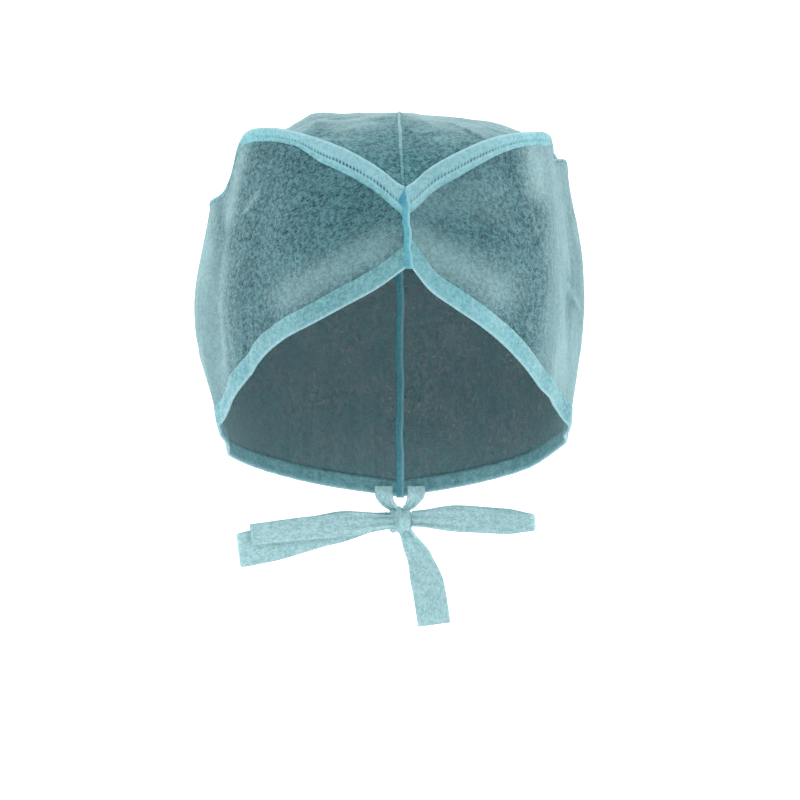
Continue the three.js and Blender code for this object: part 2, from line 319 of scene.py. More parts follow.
def lump(grid: Array, masks: dict[str, Array] | None = None) -> Form:
    """A closed body about a grid of rings, with a point in the middle of each end.

    Args:
        grid: Rings of points as (along, around, 3).
        masks: Values of the grid's shape.

    Returns:
        The body's form.
    """
    alongs, arounds = grid.shape[:2]
    count = alongs * arounds
    poles = grid[[0, -1]].mean(axis=1)
    ring = np.arange(arounds)
    fans = [np.stack([np.full(arounds, count), ring, np.roll(ring, -1)], axis=-1),
            np.stack([np.full(arounds, count + 1), np.roll(ring, -1) + count - arounds,
                      ring + count - arounds], axis=-1)]
    flat = flat_map_of(grid)
    flat = np.concatenate([flat.reshape(-1, 2), flat[[0, -1]].mean(axis=1)])
    values = {name: np.concatenate([mask.ravel(), mask[[0, -1]].mean(axis=1)])
              for name, mask in (masks or {}).items()}
    faces = (grid_quads(alongs, arounds, True), np.concatenate(fans))
    return Form(np.concatenate([grid.reshape(-1, 3), poles]), faces, flat, values)


def signed_volume(form: Form) -> float:
    """Six times the volume that a form's faces enclose, as the sum of their corners' triple products.

    Args:
        form: The closed form.

    Returns:
        The sum, negative where the faces point in.
    """
    total = 0.0
    for faces in form.faces:
        a = form.vertices[faces[:, 0]]
        for k in range(1, faces.shape[1] - 1):
            b, c = form.vertices[faces[:, k]], form.vertices[faces[:, k + 1]]
            total += float(np.einsum("ij,ij->", a, np.cross(b, c)))
    return total


def make_object(name: str, form: Form, material: bpy.types.Material) -> bpy.types.Object:
    """Writes a form into a new mesh object, with its faces pointing out.

    Args:
        name: Name of the object.
        form: The form in millimetres.
        material: Its finish.

    Returns:
        The new object, at the origin.
    """
    faces = form.faces if signed_volume(form) > 0 else tuple(f[:, ::-1] for f in form.faces)
    loops = np.concatenate([f.ravel() for f in faces]).astype(np.int32)
    sizes = np.concatenate([np.full(len(f), f.shape[1]) for f in faces])
    starts = np.concatenate([[0], np.cumsum(sizes)[:-1]]).astype(np.int32)
    mesh = bpy.data.meshes.new(name)
    mesh.vertices.add(len(form.vertices))
    mesh.vertices.foreach_set("co", (form.vertices * MM).astype(np.float32).ravel())
    mesh.loops.add(len(loops))
    mesh.loops.foreach_set("vertex_index", loops)
    mesh.polygons.add(len(starts))
    mesh.polygons.foreach_set("loop_start", starts)
    mesh.polygons.foreach_set("use_smooth", np.ones(len(starts), bool))
    mesh.update(calc_edges=True)
    layer = mesh.uv_layers.new(name=UV_NAME)
    layer.data.foreach_set("uv", (form.flat_map[loops] * MM).astype(np.float32).ravel())
    for mask, values in form.masks.items():
        attribute = mesh.attributes.new(mask, "FLOAT", "POINT")
        attribute.data.foreach_set("value", values.astype(np.float32))
    mesh.materials.append(material)
    mesh.validate()
    made = bpy.data.objects.new(name, mesh)
    bpy.context.scene.collection.objects.link(made)
    return made


def publish(made: bpy.types.Object, node: str) -> bpy.types.Object:
    """Puts a piece on the cap's body in place of its CAD node.

    Args:
        made: The piece.
        node: The CAD node that it stands for.

    Returns:
        The same piece.
    """
    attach(made, "root")
    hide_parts(node)
    areas = np.zeros(len(made.data.polygons))
    made.data.polygons.foreach_get("area", areas)
    LOG.info("%s stands for %s: %d faces, %.4f m2 on both sides", made.name, node, len(areas),
             areas.sum())
    return made


# ---------------------------------------------------------------- tables of the cap's form


@dataclass(frozen=True)
class PanelRow:
    """An upright line on a side panel: its ends on the lower and upper edge, and its belly."""

    name: str
    low: Point
    high: Point
    belly: float


@dataclass(frozen=True)
class CrownRow:
    """The crown's middle at a row. To each side, how boxy the arch is and how far it draws in."""

    name: str
    middle: Point
    left: tuple[float, float]
    right: tuple[float, float]


@dataclass(frozen=True)
class Fold:
    """An upright fold of a side panel: its row, width in rows, depth and height shares."""

    name: str
    row: float
    width: float
    depth: float
    low: float
    high: float


@dataclass(frozen=True)
class Crease:
    """A straight crease in an upright plane: its ends as (x, z), its width, height and paleness, which is
    a painted highlight along it.
    """

    name: str
    start: tuple[float, float]
    end: tuple[float, float]
    width: float
    height: float
    pale: float


def rows_of(kind: type, *rows: tuple) -> tuple:
    """A table's plain rows, each made into one object of this kind."""
    return tuple(kind(*row) for row in rows)


FRONT_END = {"low": (4.6, -101.0, -89.0), "high": (2.6, -88.0, -46.5)}
BACK_END = {"low": (0.0, 92.0, -213.0), "high": (0.0, 118.0, -61.0)}
SEAM_COVER = 1.6  # how far from a seam's middle the panels end, under the strip


def end_row(name: str, ends: dict[str, Point], side: Side, belly: float) -> PanelRow:
    """The row where a panel ends under a seam's strip.

    Args:
        name: The row's name.
        ends: The seam's lower and upper end.
        side: The panel's side.
        belly: How far the cloth bellies out there.

    Returns:
        The row, moved aside from the seam's middle.
    """
    aside = side.sign * SEAM_COVER
    low, high = ((x + aside, y, z) for x, y, z in (ends["low"], ends["high"]))
    return PanelRow(name, low, high, belly)


PANEL_LINES = {
    Side.LEFT: (
        ("brow_inner", (-11, -100, -99), (-11, -86, -36.5), 3),
        ("brow_outer", (-30.5, -93, -109.5), (-29, -82, -26), 4),
        ("temple_front", (-47, -82, -118), (-43, -74, -20), 4),
        ("temple", (-59.5, -70, -124), (-57, -63, -15), 4),
        ("temple_back", (-71, -55, -132.5), (-70.5, -48, -12), 4),
        ("corner", (-80.5, -40, -144), (-83.4, -31, -13.6), 5),
        ("side_fold", (-95, -8, -165), (-95, -2, -40.5), 7),
        ("side_lobe", (-99.5, 8, -174), (-105.3, 21, -46.8), 11),
        ("behind_ear", (-97.5, 32, -186), (-103, 50, -50), 11),
        ("hollow", (-92, 50, -191), (-92, 75, -53), 11),
        ("nape_outer", (-76, 70, -198), (-70, 97, -57), 11),
        ("nape_inner", (-46, 84, -206), (-38, 112, -60), 12),
    ),
    Side.RIGHT: (
        ("brow_inner", (15.5, -100, -100.5), (15.5, -86, -36.5), 3),
        ("brow_outer", (28.5, -94, -109.5), (29, -82, -28.5), 4),
        ("temple_front", (43, -84, -119), (45.5, -73, -20.5), 4),
        ("temple", (55, -70, -128.5), (58, -62, -16.5), 4),
        ("temple_back", (66, -55, -139.5), (69, -50, -14.5), 4),
        ("corner", (75.5, -37, -151), (79.4, -34, -14.1), 5),
        ("side_fold", (85, -12, -162), (84.5, -10, -24.5), 7),
        ("side_lobe", (93, 8, -173.5), (91, 13, -24), 10),
        ("behind_ear", (94, 30, -179.5), (93.5, 44, -31), 8.5),
        ("hollow", (88, 50, -186), (85, 72, -41), 11),
        ("nape_outer", (74, 70, -196), (67, 96, -51), 11),
        ("nape_inner", (45, 84, -205), (38, 111, -58), 12),
    ),
}
PANEL_ROWS = {
    side: (end_row("front", FRONT_END, side, 2), *(PanelRow(*line) for line in lines),
           end_row("back", BACK_END, side, 12))
    for side, lines in PANEL_LINES.items()
}
CROWN_ROWS = rows_of(
    CrownRow,
    ("front", (1.9, -86.9, -47.3), (1.6, 0), (1.6, 0)),
    ("brow_inner", (1.2, -83.5, -38), (1.6, 0), (1.6, 0)),
    ("brow_outer", (0.6, -79.5, -29), (1.5, 0), (1.5, 0)),
    ("temple_front", (0.3, -72, -22), (1.4, 0), (1.3, 0)),
    ("temple", (0.1, -62, -15.5), (1.3, 0), (1.28, 0)),
    ("temple_back", (-0.4, -48, -9), (1.2, 0), (1.22, 0)),
    ("corner", (-0.4, -31, -3.5), (1.3, 1), (1.22, 0)),
    ("side_fold", (-0.5, 0, 0.6), (2.9, 15), (2.1, 2)),
    ("side_lobe", (-0.6, 21, 0.4), (3.0, 20), (2.15, 4)),
    ("behind_ear", (-0.4, 48, -3.5), (3, 18), (2, 4)),
    ("hollow", (0, 73, -12), (2.6, 10), (2, 3)),
    ("nape_outer", (0, 95, -28), (2.3, 4), (2, 2)),
    ("nape_inner", (0, 108, -46), (2, 2), (2, 1)),
    ("back", (0, 115, -60), (2, 0), (2, 0)),
)
FOLDS = {
    Side.LEFT: rows_of(
        Fold,
        ("fold_before_lobe", 7.1, 0.42, -3.5, 0.1, 0.98),
        ("drape_at_ear", 6.5, 0.3, 2, -0.1, 0.6),
        ("drape_behind_ear", 8.7, 0.4, -3, -0.2, 0.7),
        ("drape_low", 7.7, 0.2, 1.4, -0.2, 0.45),
        ("drape_ear_front", 5.9, 0.2, -0.9, -0.1, 0.4),
    ),
    Side.RIGHT: rows_of(
        Fold,
        ("fold_before_lobe", 7.3, 0.42, -3.5, 0.2, 1.2),
        ("drape_at_ear", 6.4, 0.3, 2, -0.1, 0.5),
        ("drape_behind_ear", 8.6, 0.4, -3, -0.2, 0.7),
        ("drape_low", 7.8, 0.22, 1.4, -0.2, 0.4),
    ),
}
# Creases of the side panels; the last column is the painted highlight along each.
CREASES = {
    Side.LEFT: rows_of(
        Crease,
        ("temple_streak", (-84.5, -58.5), (-73, -44), 1.6, 0.5, 0.5),
        ("drape_outer", (-95, -100), (-88, -150), 2.2, 0.8, 0.5),
        ("drape_inner", (-90.5, -96), (-84, -140), 1.5, 0.6, 0.35),
        ("lobe_outer", (-102, -52), (-106.5, -100), 3.2, 0.7, 0.45),
        ("lobe_inner", (-98.5, -66), (-99, -98), 1.6, 0.5, 0.25),
        ("low_cross", (-93, -152), (-99, -168), 1.4, 0.6, 0.4),
    ),
    Side.RIGHT: rows_of(
        Crease,
        ("lobe_line_high", (86.2, -26), (88.6, -46), 2.6, 0.7, 0.5),
        ("lobe_line_middle", (88.4, -42), (90.8, -68), 2.6, 0.7, 0.5),
        ("lobe_line_low", (90.8, -62), (93.6, -92), 2.4, 0.7, 0.5),
        ("lobe_cross", (90.6, -91), (100.5, -110), 1.4, 0.8, 0.5),
        ("temple_cross", (76, -131), (82.5, -145), 1.3, 0.7, 0.45),
        ("temple_short", (66, -114), (70.5, -122), 1.3, 0.5, 0.35),
        ("drape_inner", (84.5, -96), (88.5, -132), 1.6, 0.6, 0.35),
        ("drape_outer", (95.5, -104), (93.5, -146), 1.8, 0.7, 0.4),
        ("brow_short", (70, -60), (74.5, -72), 1.2, 0.4, 0.25),
        ("temple_streak", (71, -27), (74.2, -46), 1.4, 0.4, 0.5),
    ),
}
# Creases of the crown; the last column is the painted highlight along each.
CROWN_CREASES = {
    Side.LEFT: rows_of(
        Crease,
        ("shoulder", (-44.5, -2.5), (-60, -9), 2.2, 0.8, 0.35),
        ("shoulder_swell", (-44, 12), (-44.5, -17), 9, 3.1, 0),
        ("brow_line", (-30, -14), (-14, -9.5), 1.3, 0.4, 0.25),
    ),
    Side.RIGHT: rows_of(
        Crease,
        ("ridge_inner", (24.5, -7), (38, -15.4), 0.85, 0.9, 1),
        ("ridge_outer", (33.5, -12.9), (48.5, -20.9), 0.85, 0.9, 0.9),
        ("top_hollow", (3, 1), (48, -7), 8, -1.4, 0),
        ("brow_line", (17, -20), (33, -24), 1.3, 0.4, 0.25),
    ),
}
# Patches painted paler, as where light shines through the cloth; they have no height, so they change only
# the colour.
PAINTED_LIGHT_PATCHES = {
    Side.LEFT: rows_of(
        Crease,
        ("brow", (-74, -110), (6, -70), 14, 0, 0.5),
        ("corner", (-82, -2), (-96, -70), 7, 0, 0.5),
        ("lobe", (-110, -50), (-99, -168), 15, 0, 0.72),
    ),
    Side.RIGHT: rows_of(
        Crease,
        ("brow", (-12, -66), (68, -108), 16, 0, 0.6),
        ("centre", (-12, -54), (60, -50), 20, 0, 0.24),
        ("corner", (69, 4), (75, -56), 9.5, 0, 0.8),
        ("tail", (94, -108), (90, -176), 13, 0, 0.6),
    ),
}
CREASE_BACK = 62.0  # creases fade out behind this y


@dataclass(frozen=True)
class SideLook:
    """How a side was drawn about, in rows: where its flecks calm and its cloth is painted lighter, as
    where light shines through it, and where its bands change.
    """

    airy_painted_light_start: float
    taper: tuple[float, float]  # where the upper band narrows
    lower_pale: float  # paleness of the upper band below its weld marks; the right side's larger value is painted light
    hem_dull: float  # how far the lower band takes the cloth's colour at the front


SIDE_LOOKS = {Side.LEFT: SideLook(6.8, (2.6, 3.9), 0.35, 0.7), Side.RIGHT: SideLook(5.1, (1.6, 5.2), 0.85, 0.25)}


@dataclass(frozen=True)
class Crumple:
    """Relief of handled cloth: soft swells, a few sharp creases and a fine unevenness."""

    swell_length: float = 42.0
    swell_height: float = 1.0
    dent_length: float = 17.0
    dent_height: float = 0.42
    crease_length: float = 26.0
    crease_height: float = 0.32
    crease_width: float = 0.1
    fine_length: float = 5.5
    fine_height: float = 0.1

    def at(self, noise: SoftNoise, points: Array) -> Array:
        """Height of the relief: three noises and a ridge where a fourth passes through zero.

        Args:
            noise: The seeded noise.
            points: Points of the cloth before it is crumpled.

        Returns:
            How far the cloth stands out at each point.
        """
        upright = points * np.array([1.0, 1.0, 0.7])
        swell = self.swell_height * noise.at(upright, self.swell_length)
        dent = self.dent_height * noise.at(upright + 31.0, self.dent_length)
        ridge = bump(noise.at(upright + 77.0, self.crease_length), self.crease_width)
        fine = self.fine_height * noise.at(points + 13.0, self.fine_length)
        return swell + dent + self.crease_height * ridge + fine


def crease_relief(creases: tuple[Crease, ...], points: Array) -> tuple[Array, Array]:
    """Height of straight creases and the painted highlight along them: a bell about each line, fading over
    its ends.

    Distances are taken in the upright plane, so a crease runs through whatever cloth lies before
    or behind its line.

    Args:
        creases: The creases.
        points: Points of the cloth.

    Returns:
        How far the cloth stands out at each point, and how pale the painted highlight along the crease
        makes it.
    """
    height = np.zeros(points.shape[:-1])
    pale = np.zeros(points.shape[:-1])
    seen = points[..., [0, 2]]
    near = 1 - smoothstep(CREASE_BACK - 20, CREASE_BACK, points[..., 1])
    for crease in creases:
        start, end = np.array(crease.start), np.array(crease.end)
        way = end - start
        share = ((seen - start) @ way) / (way @ way)
        nearest = start + np.clip(share, 0, 1)[..., None] * way
        distance = np.linalg.norm(seen - nearest, axis=-1)
        ends = smoothstep(-0.05, 0.25, share) * (1 - smoothstep(0.75, 1.05, share)) * near
        height += crease.height * bump(distance, crease.width) * ends
        pale = np.maximum(pale, crease.pale * bump(distance, crease.width * 0.7) * ends)
    return height, pale


# ---------------------------------------------------------------- the cap's surfaces


@dataclass
class CapSide:
    """One half of the cap: the surface that its panel and bindings share."""

    side: Side
    noise: SoftNoise
    belly_power: float = 1.4
    gather_depth: float = 1.6
    gather_from: float = 11.0
    gather_waves: float = 3.0
    crumple: Crumple = Crumple()

    def __post_init__(self) -> None:
        """Reads the side's rows and draws its two edge lines."""
        rows = PANEL_ROWS[self.side]
        self.last = len(rows) - 1
        self.low = SmoothLine([row.low for row in rows])
        self.high = SmoothLine([row.high for row in rows])
        self.bellies = [row.belly for row in rows]

    def outward(self, rows: Array) -> Array:
        """Level unit directions that point out of the cap: the lower edge's normal from above.

        At the front and back seams they turn to straight ahead and straight back.

        Args:
            rows: Row numbers.

        Returns:
            A direction for each row.
        """
        ahead = self.low.ahead(rows, 0.02)
        level = unit(np.stack([-ahead[..., 1], ahead[..., 0], 0 * ahead[..., 0]], axis=-1)
                     * -self.side.sign)
        rows = np.asarray(rows)[..., None]
        back, front = smoothstep(11.5, 13.0, rows), 1 - smoothstep(0.0, 1.5, rows)
        return unit(level * (1 - back - front) + np.array([0.0, 1.0, 0.0]) * (back - front))

    def relief(self, rows: Array, shares: Array, points: Array) -> Array:
        """How far folds, gathers, creases and crumples move the cloth out.

        A fold is a bell across its row that fades in and out over its height. A gather is a
        cosine along the rows that fades away from the lower edge.

        Args:
            rows: Row numbers.
            shares: Height shares, 0 on the lower edge and 1 on the upper edge.
            points: The plain surface there.

        Returns:
            The relief in millimetres.
        """
        total = np.zeros(points.shape[:-1])
        for fold in FOLDS[self.side]:
            tall = smoothstep(fold.low - 0.1, fold.low + 0.25, shares) \
                * (1 - smoothstep(fold.high - 0.25, fold.high, shares))
            total = total + fold.depth * bump(rows - fold.row, fold.width) * tall
        drawn = smoothstep(self.gather_from - 1, self.gather_from + 1.5, rows) \
            * (1 - smoothstep(12.7, 13.0, rows)) * np.clip(1 - shares, 0, 1) ** 1.5
        total = total + self.gather_depth * drawn * np.cos(2 * np.pi * self.gather_waves * rows)
        held = 0.3 + 0.7 * np.sin(np.pi * np.clip(shares, 0, 1)) ** 0.5
        held = held * smoothstep(-0.1, 0.6, rows) * (1 - smoothstep(12.6, 13.05, rows))
        return total + held * self.crumple.at(self.noise, points) \
            + crease_relief(CREASES[self.side], points)[0]

    def surface(self, rows: Array, shares: Array) -> Array:
        """The cloth's middle surface: a line between the two edges, bellied out and in relief.

        Args:
            rows: Row numbers, as (along, 1) or a full grid.
            shares: Height shares, as (1, across) or a full grid.

        Returns:
            Points of the grid.
        """
        low, high, out = self.low.at(rows), self.high.at(rows), self.outward(rows)
        inside = np.clip(shares, 0, 1)
        swell = value_at(self.bellies, rows) * np.sin(np.pi * inside) ** self.belly_power
        plain = low + (high - low) * shares[..., None] + out * swell[..., None]
        return plain + out * self.relief(rows, shares, plain)[..., None]

    def normals(self, rows: Array, shares: Array, step: float = 0.01) -> Array:
        """Unit normals of the surface, out of the cap, from its slopes along and up.

        Args:
            rows: Row numbers.
            shares: Height shares.
            step: How far to each side the slopes are read.

        Returns:
            A normal for each point of the grid.
        """
        along = self.surface(rows + step, shares) - self.surface(rows - step, shares)
        up = self.surface(rows, shares + step) - self.surface(rows, shares - step)
        across = unit(np.cross(along, up))
        facing = np.sign(np.sum(across * self.outward(rows), axis=-1, keepdims=True))
        return across * facing

    def share_per_mm(self, rows: Array, edge: SmoothLine) -> Array:
        """The height share that one millimetre square to an edge takes."""
        upright = self.high.at(rows) - self.low.at(rows)
        return 1 / np.linalg.norm(np.cross(edge.ahead(rows), upright), axis=-1)


@dataclass
class Cuff:
    """A side panel with its two bindings: the cloth that stands up round the head."""

    body: CapSide
    cloth: bpy.types.Material
    binding: bpy.types.Material
    cloth_thick: float = 0.5
    cloth_step: float = 1.6
    cloth_across: int = 84
    band_thick: float = 0.34
    band_inside: float = 0.62  # from the cloth's middle to the middle of the band's skin
    ridge_width: float = 10.0
    hem_width: float = 10.0
    inner_width: float = 9.0  # how far both bands reach down the inside
    weld_pitch: float = 2.05
    weld_below: float = 6.2  # distance of the weld marks from the folded edge
    weld_depth: float = 0.35
    cloth_lap: float = 1.2  # how far the cloth stays inside each folded edge
    meet_reach: float = 1.4  # how far the band's upper corner runs over the seam at the notch
    airy_painted_light_peak: float = 0.9  # how far the flecks give way and the cloth is painted lighter where it is drawn over the sides
    hem_bare: float = 0.6  # how far the lower band takes the cloth's colour past the corners
    steps_per_mark: int = 5

    def build(self) -> list[bpy.types.Object]:
        """Makes the panel and its two bindings.

        Returns:
            The three pieces.
        """
        return [self.panel(), self.ridge_band(), self.hem_band()]

    def panel(self) -> bpy.types.Object:
        """The single cloth: the surface from just inside one folded edge to the other.

        Returns:
            The piece.
        """
        body = self.body
        rows = body.low.even_rows(self.cloth_step)[:, None]
        low = body.share_per_mm(rows, body.low) * self.cloth_lap
        high = 1 - body.share_per_mm(rows, body.high) * self.cloth_lap
        shares = low + (high - low) * np.linspace(0, 1, self.cloth_across + 1)[None, :]
        grid = body.surface(rows, shares)
        # The crease mask carries the painted highlights along the creases and the painted light patches.
        pale = np.maximum(crease_relief(CREASES[body.side], grid)[1],
                          crease_relief(PAINTED_LIGHT_PATCHES[body.side], grid)[1])
        start = SIDE_LOOKS[body.side].airy_painted_light_start
        drawn = smoothstep(start, start + 1.4, rows)
        # Over the sides the flecks calm and the cloth is painted lighter, as where light shines through
        # it.
        airy = self.airy_painted_light_peak * drawn * (1 - 0.8 * smoothstep(9.0, 11.0, rows))
        form = shell(grid, self.cloth_thick, masks={"crease": pale, "airy": airy * np.ones(pale.shape)})
        made = make_object(f"cuff_cloth_{body.side.value}", form, self.cloth)
        return publish(made, f"side_panel_{body.side.value}")

    def folded_path(self, outside: Array) -> tuple[Array, Array]:
        """Section of a folded band: down its outside, round the edge and up its inside.

        Args:
            outside: Distances from the folded edge at the steps of the outside, falling.

        Returns:
            Distances from the folded edge, and offsets from the cloth's middle.
        """
        reach = self.band_inside
        turn = np.linspace(np.pi / 2, -np.pi / 2, 7)[1:-1]
        inside = np.linspace(reach, self.inner_width, 6)
        distance = np.concatenate([outside, [reach], reach - reach * np.cos(turn), inside])
        offset = np.concatenate([np.full(len(outside) + 1, reach), reach * np.sin(turn),
                                 np.full(len(inside), -reach)])
        return distance[None, :], offset[None, :]

    def ridge_band(self) -> bpy.types.Object:
        """The upper binding: a fold over the panel's edge, pressed down by a row of weld marks.

        Above the marks it puffs by a half sine, below them it lies flat. A mark is a dent that
        comes once for each pitch of length along the edge.

        Returns:
            The piece.
        """
        body = self.body
        rows = body.high.even_rows(self.weld_pitch / self.steps_per_mark)[:, None]
        near_weld = self.weld_below + np.array([1.6, 1.0, 0.6, 0.3, 0.0, -0.3, -0.6, -1.0])
        above = np.linspace(self.weld_below - 1.8, 1.2, 5)
        lines = np.concatenate([[self.ridge_width, 8.7], near_weld, above])
        distance, offset = self.folded_path(lines)
        outside = offset > 0
        bare = self.turned_back(rows)
        look = SIDE_LOOKS[body.side]
        tapers = smoothstep(*look.taper, rows)
        narrow = (1.16 - 0.44 * tapers) * (1 - 0.7 * bare)
        weld_at = self.weld_below * narrow
        distance = distance * np.where(outside, narrow, 1.0)
        puff = np.sin(np.pi * np.clip(distance / weld_at, 0, 1)) * 0.4 * smoothstep(0.0, 0.5, rows)
        puff = (puff - 0.2 * smoothstep(0.0, 1.0, distance - weld_at)) * outside
        phase = (np.arange(len(rows)) % self.steps_per_mark)[:, None]
        mark = np.array([1.0, 0.8, 0.0, 0.0, 0.8])[phase] * outside
        dent = mark * bump(distance - weld_at, 0.62)
        seen = self.weld_seen(rows) * (0.75 + 0.5 * body.noise.at(body.high.at(rows), 9.0))
        dark = np.clip(1.3 * mark * bump(distance - weld_at, 0.7) * seen, 0, 1)
        pressed = bump(distance - weld_at, 0.9) * outside
        shares = 1 - distance * body.share_per_mm(rows, body.high)
        plain = body.surface(rows, shares)
        meet = self.meet_reach * (1 - smoothstep(0.0, 0.3, rows)) * (1 - smoothstep(3.5, 8.0, distance))
        plain = plain - body.side.sign * sideways(meet)
        wave = 0.25 * body.noise.at(plain + 5.0, 7.0) * outside
        lip = smoothstep(self.ridge_width - 2.5, self.ridge_width, distance / narrow)
        tight = offset * np.where(outside, 1 - (0.12 + 0.3 * bare) * lip - 0.1 * bare, 1.0)
        offsets = tight + puff * (1 - 0.8 * bare) - 0.15 * pressed - self.weld_depth * dent + wave
        grid = plain + body.normals(rows, shares) * offsets[..., None]
        ones = np.ones(distance.shape)
        pale = (1 - (1 - look.lower_pale) * smoothstep(-0.3, 0.3, distance - weld_at)) * outside
        pale = pale * (1 - 0.5 * smoothstep(3.0, 5.5, rows)) + 0.5 * (~outside)
        # Painted highlights in the rim mask: a line along the folded top edge and one just below the weld
        # marks.
        under = bump(distance - weld_at - 1.3, 0.5) * outside * self.weld_seen(rows)
        rim = np.maximum(bump(distance - 0.3, 0.6), 0.6 * under) * (1 - 0.7 * smoothstep(3.5, 6.0, rows))
        form = shell(grid, self.band_thick, masks={
            "weld": dark, "pale": pale * ones, "rim": rim, "bare": bare * ones})
        name = body.side.value
        made = make_object(f"ridge_band_{name}", form, self.binding)
        return publish(made, f"ridge_binding_{name}")

    @staticmethod
    def weld_seen(rows: Array) -> Array:
        """How dark the weld marks are: strongest beside the front, gone past the corners."""
        return (0.2 + 0.8 * (1 - smoothstep(2.2, 4.4, rows))) * (1 - smoothstep(4.6, 6.0, rows))

    @staticmethod
    def turned_back(rows: Array) -> Array:
        """Where the band turns down past the corners and lies narrow and bare on the cloth."""
        return smoothstep(5.7, 6.5, rows) * (1 - 0.6 * smoothstep(8.5, 10.5, rows))

    def hem_band(self) -> bpy.types.Object:
        """The lower binding: a fold under the panel's edge, puckered across its width.

        The puckers are a noise stretched across the band, strongest at its middle.

        Returns:
            The piece.
        """
        body = self.body
        rows = body.low.even_rows(0.9)[:, None]
        distance, offset = self.folded_path(np.linspace(self.hem_width, 1.4, 11))
        outside = offset > 0
        shares = distance * body.share_per_mm(rows, body.low)
        plain = body.surface(rows, shares)
        along = body.low.at(rows)
        pucker = body.noise.at(np.broadcast_to(along, plain.shape) * 1.0 + distance[..., None] * 0.15, 3.4)
        middle = np.sin(np.pi * np.clip(distance / self.hem_width, 0, 1))
        puff = (0.3 + 0.28 * pucker) * middle * outside
        edge_wave = 0.3 * body.noise.at(plain + 9.0, 9.0) * outside
        grid = plain + body.normals(rows, shares) * (offset + puff + edge_wave)[..., None]
        ones = np.ones(rows.shape)
        dull = SIDE_LOOKS[body.side].hem_dull
        bare = dull + (self.hem_bare - dull) * smoothstep(4.0, 7.0, rows)
        # The rim mask paints a highlight along the folded lower edge.
        form = shell(grid, self.band_thick, masks={
            "weld": np.zeros(plain.shape[:2]), "pale": (0.5 + 0.3 * pucker) * ones,
            "rim": 0.75 * bump(distance - 0.2, 0.5) * ones,
            "bare": bare * np.ones(distance.shape)})
        made = make_object(f"hem_band_{body.side.value}", form, self.binding)
        return publish(made, f"hem_binding_{body.side.value}")


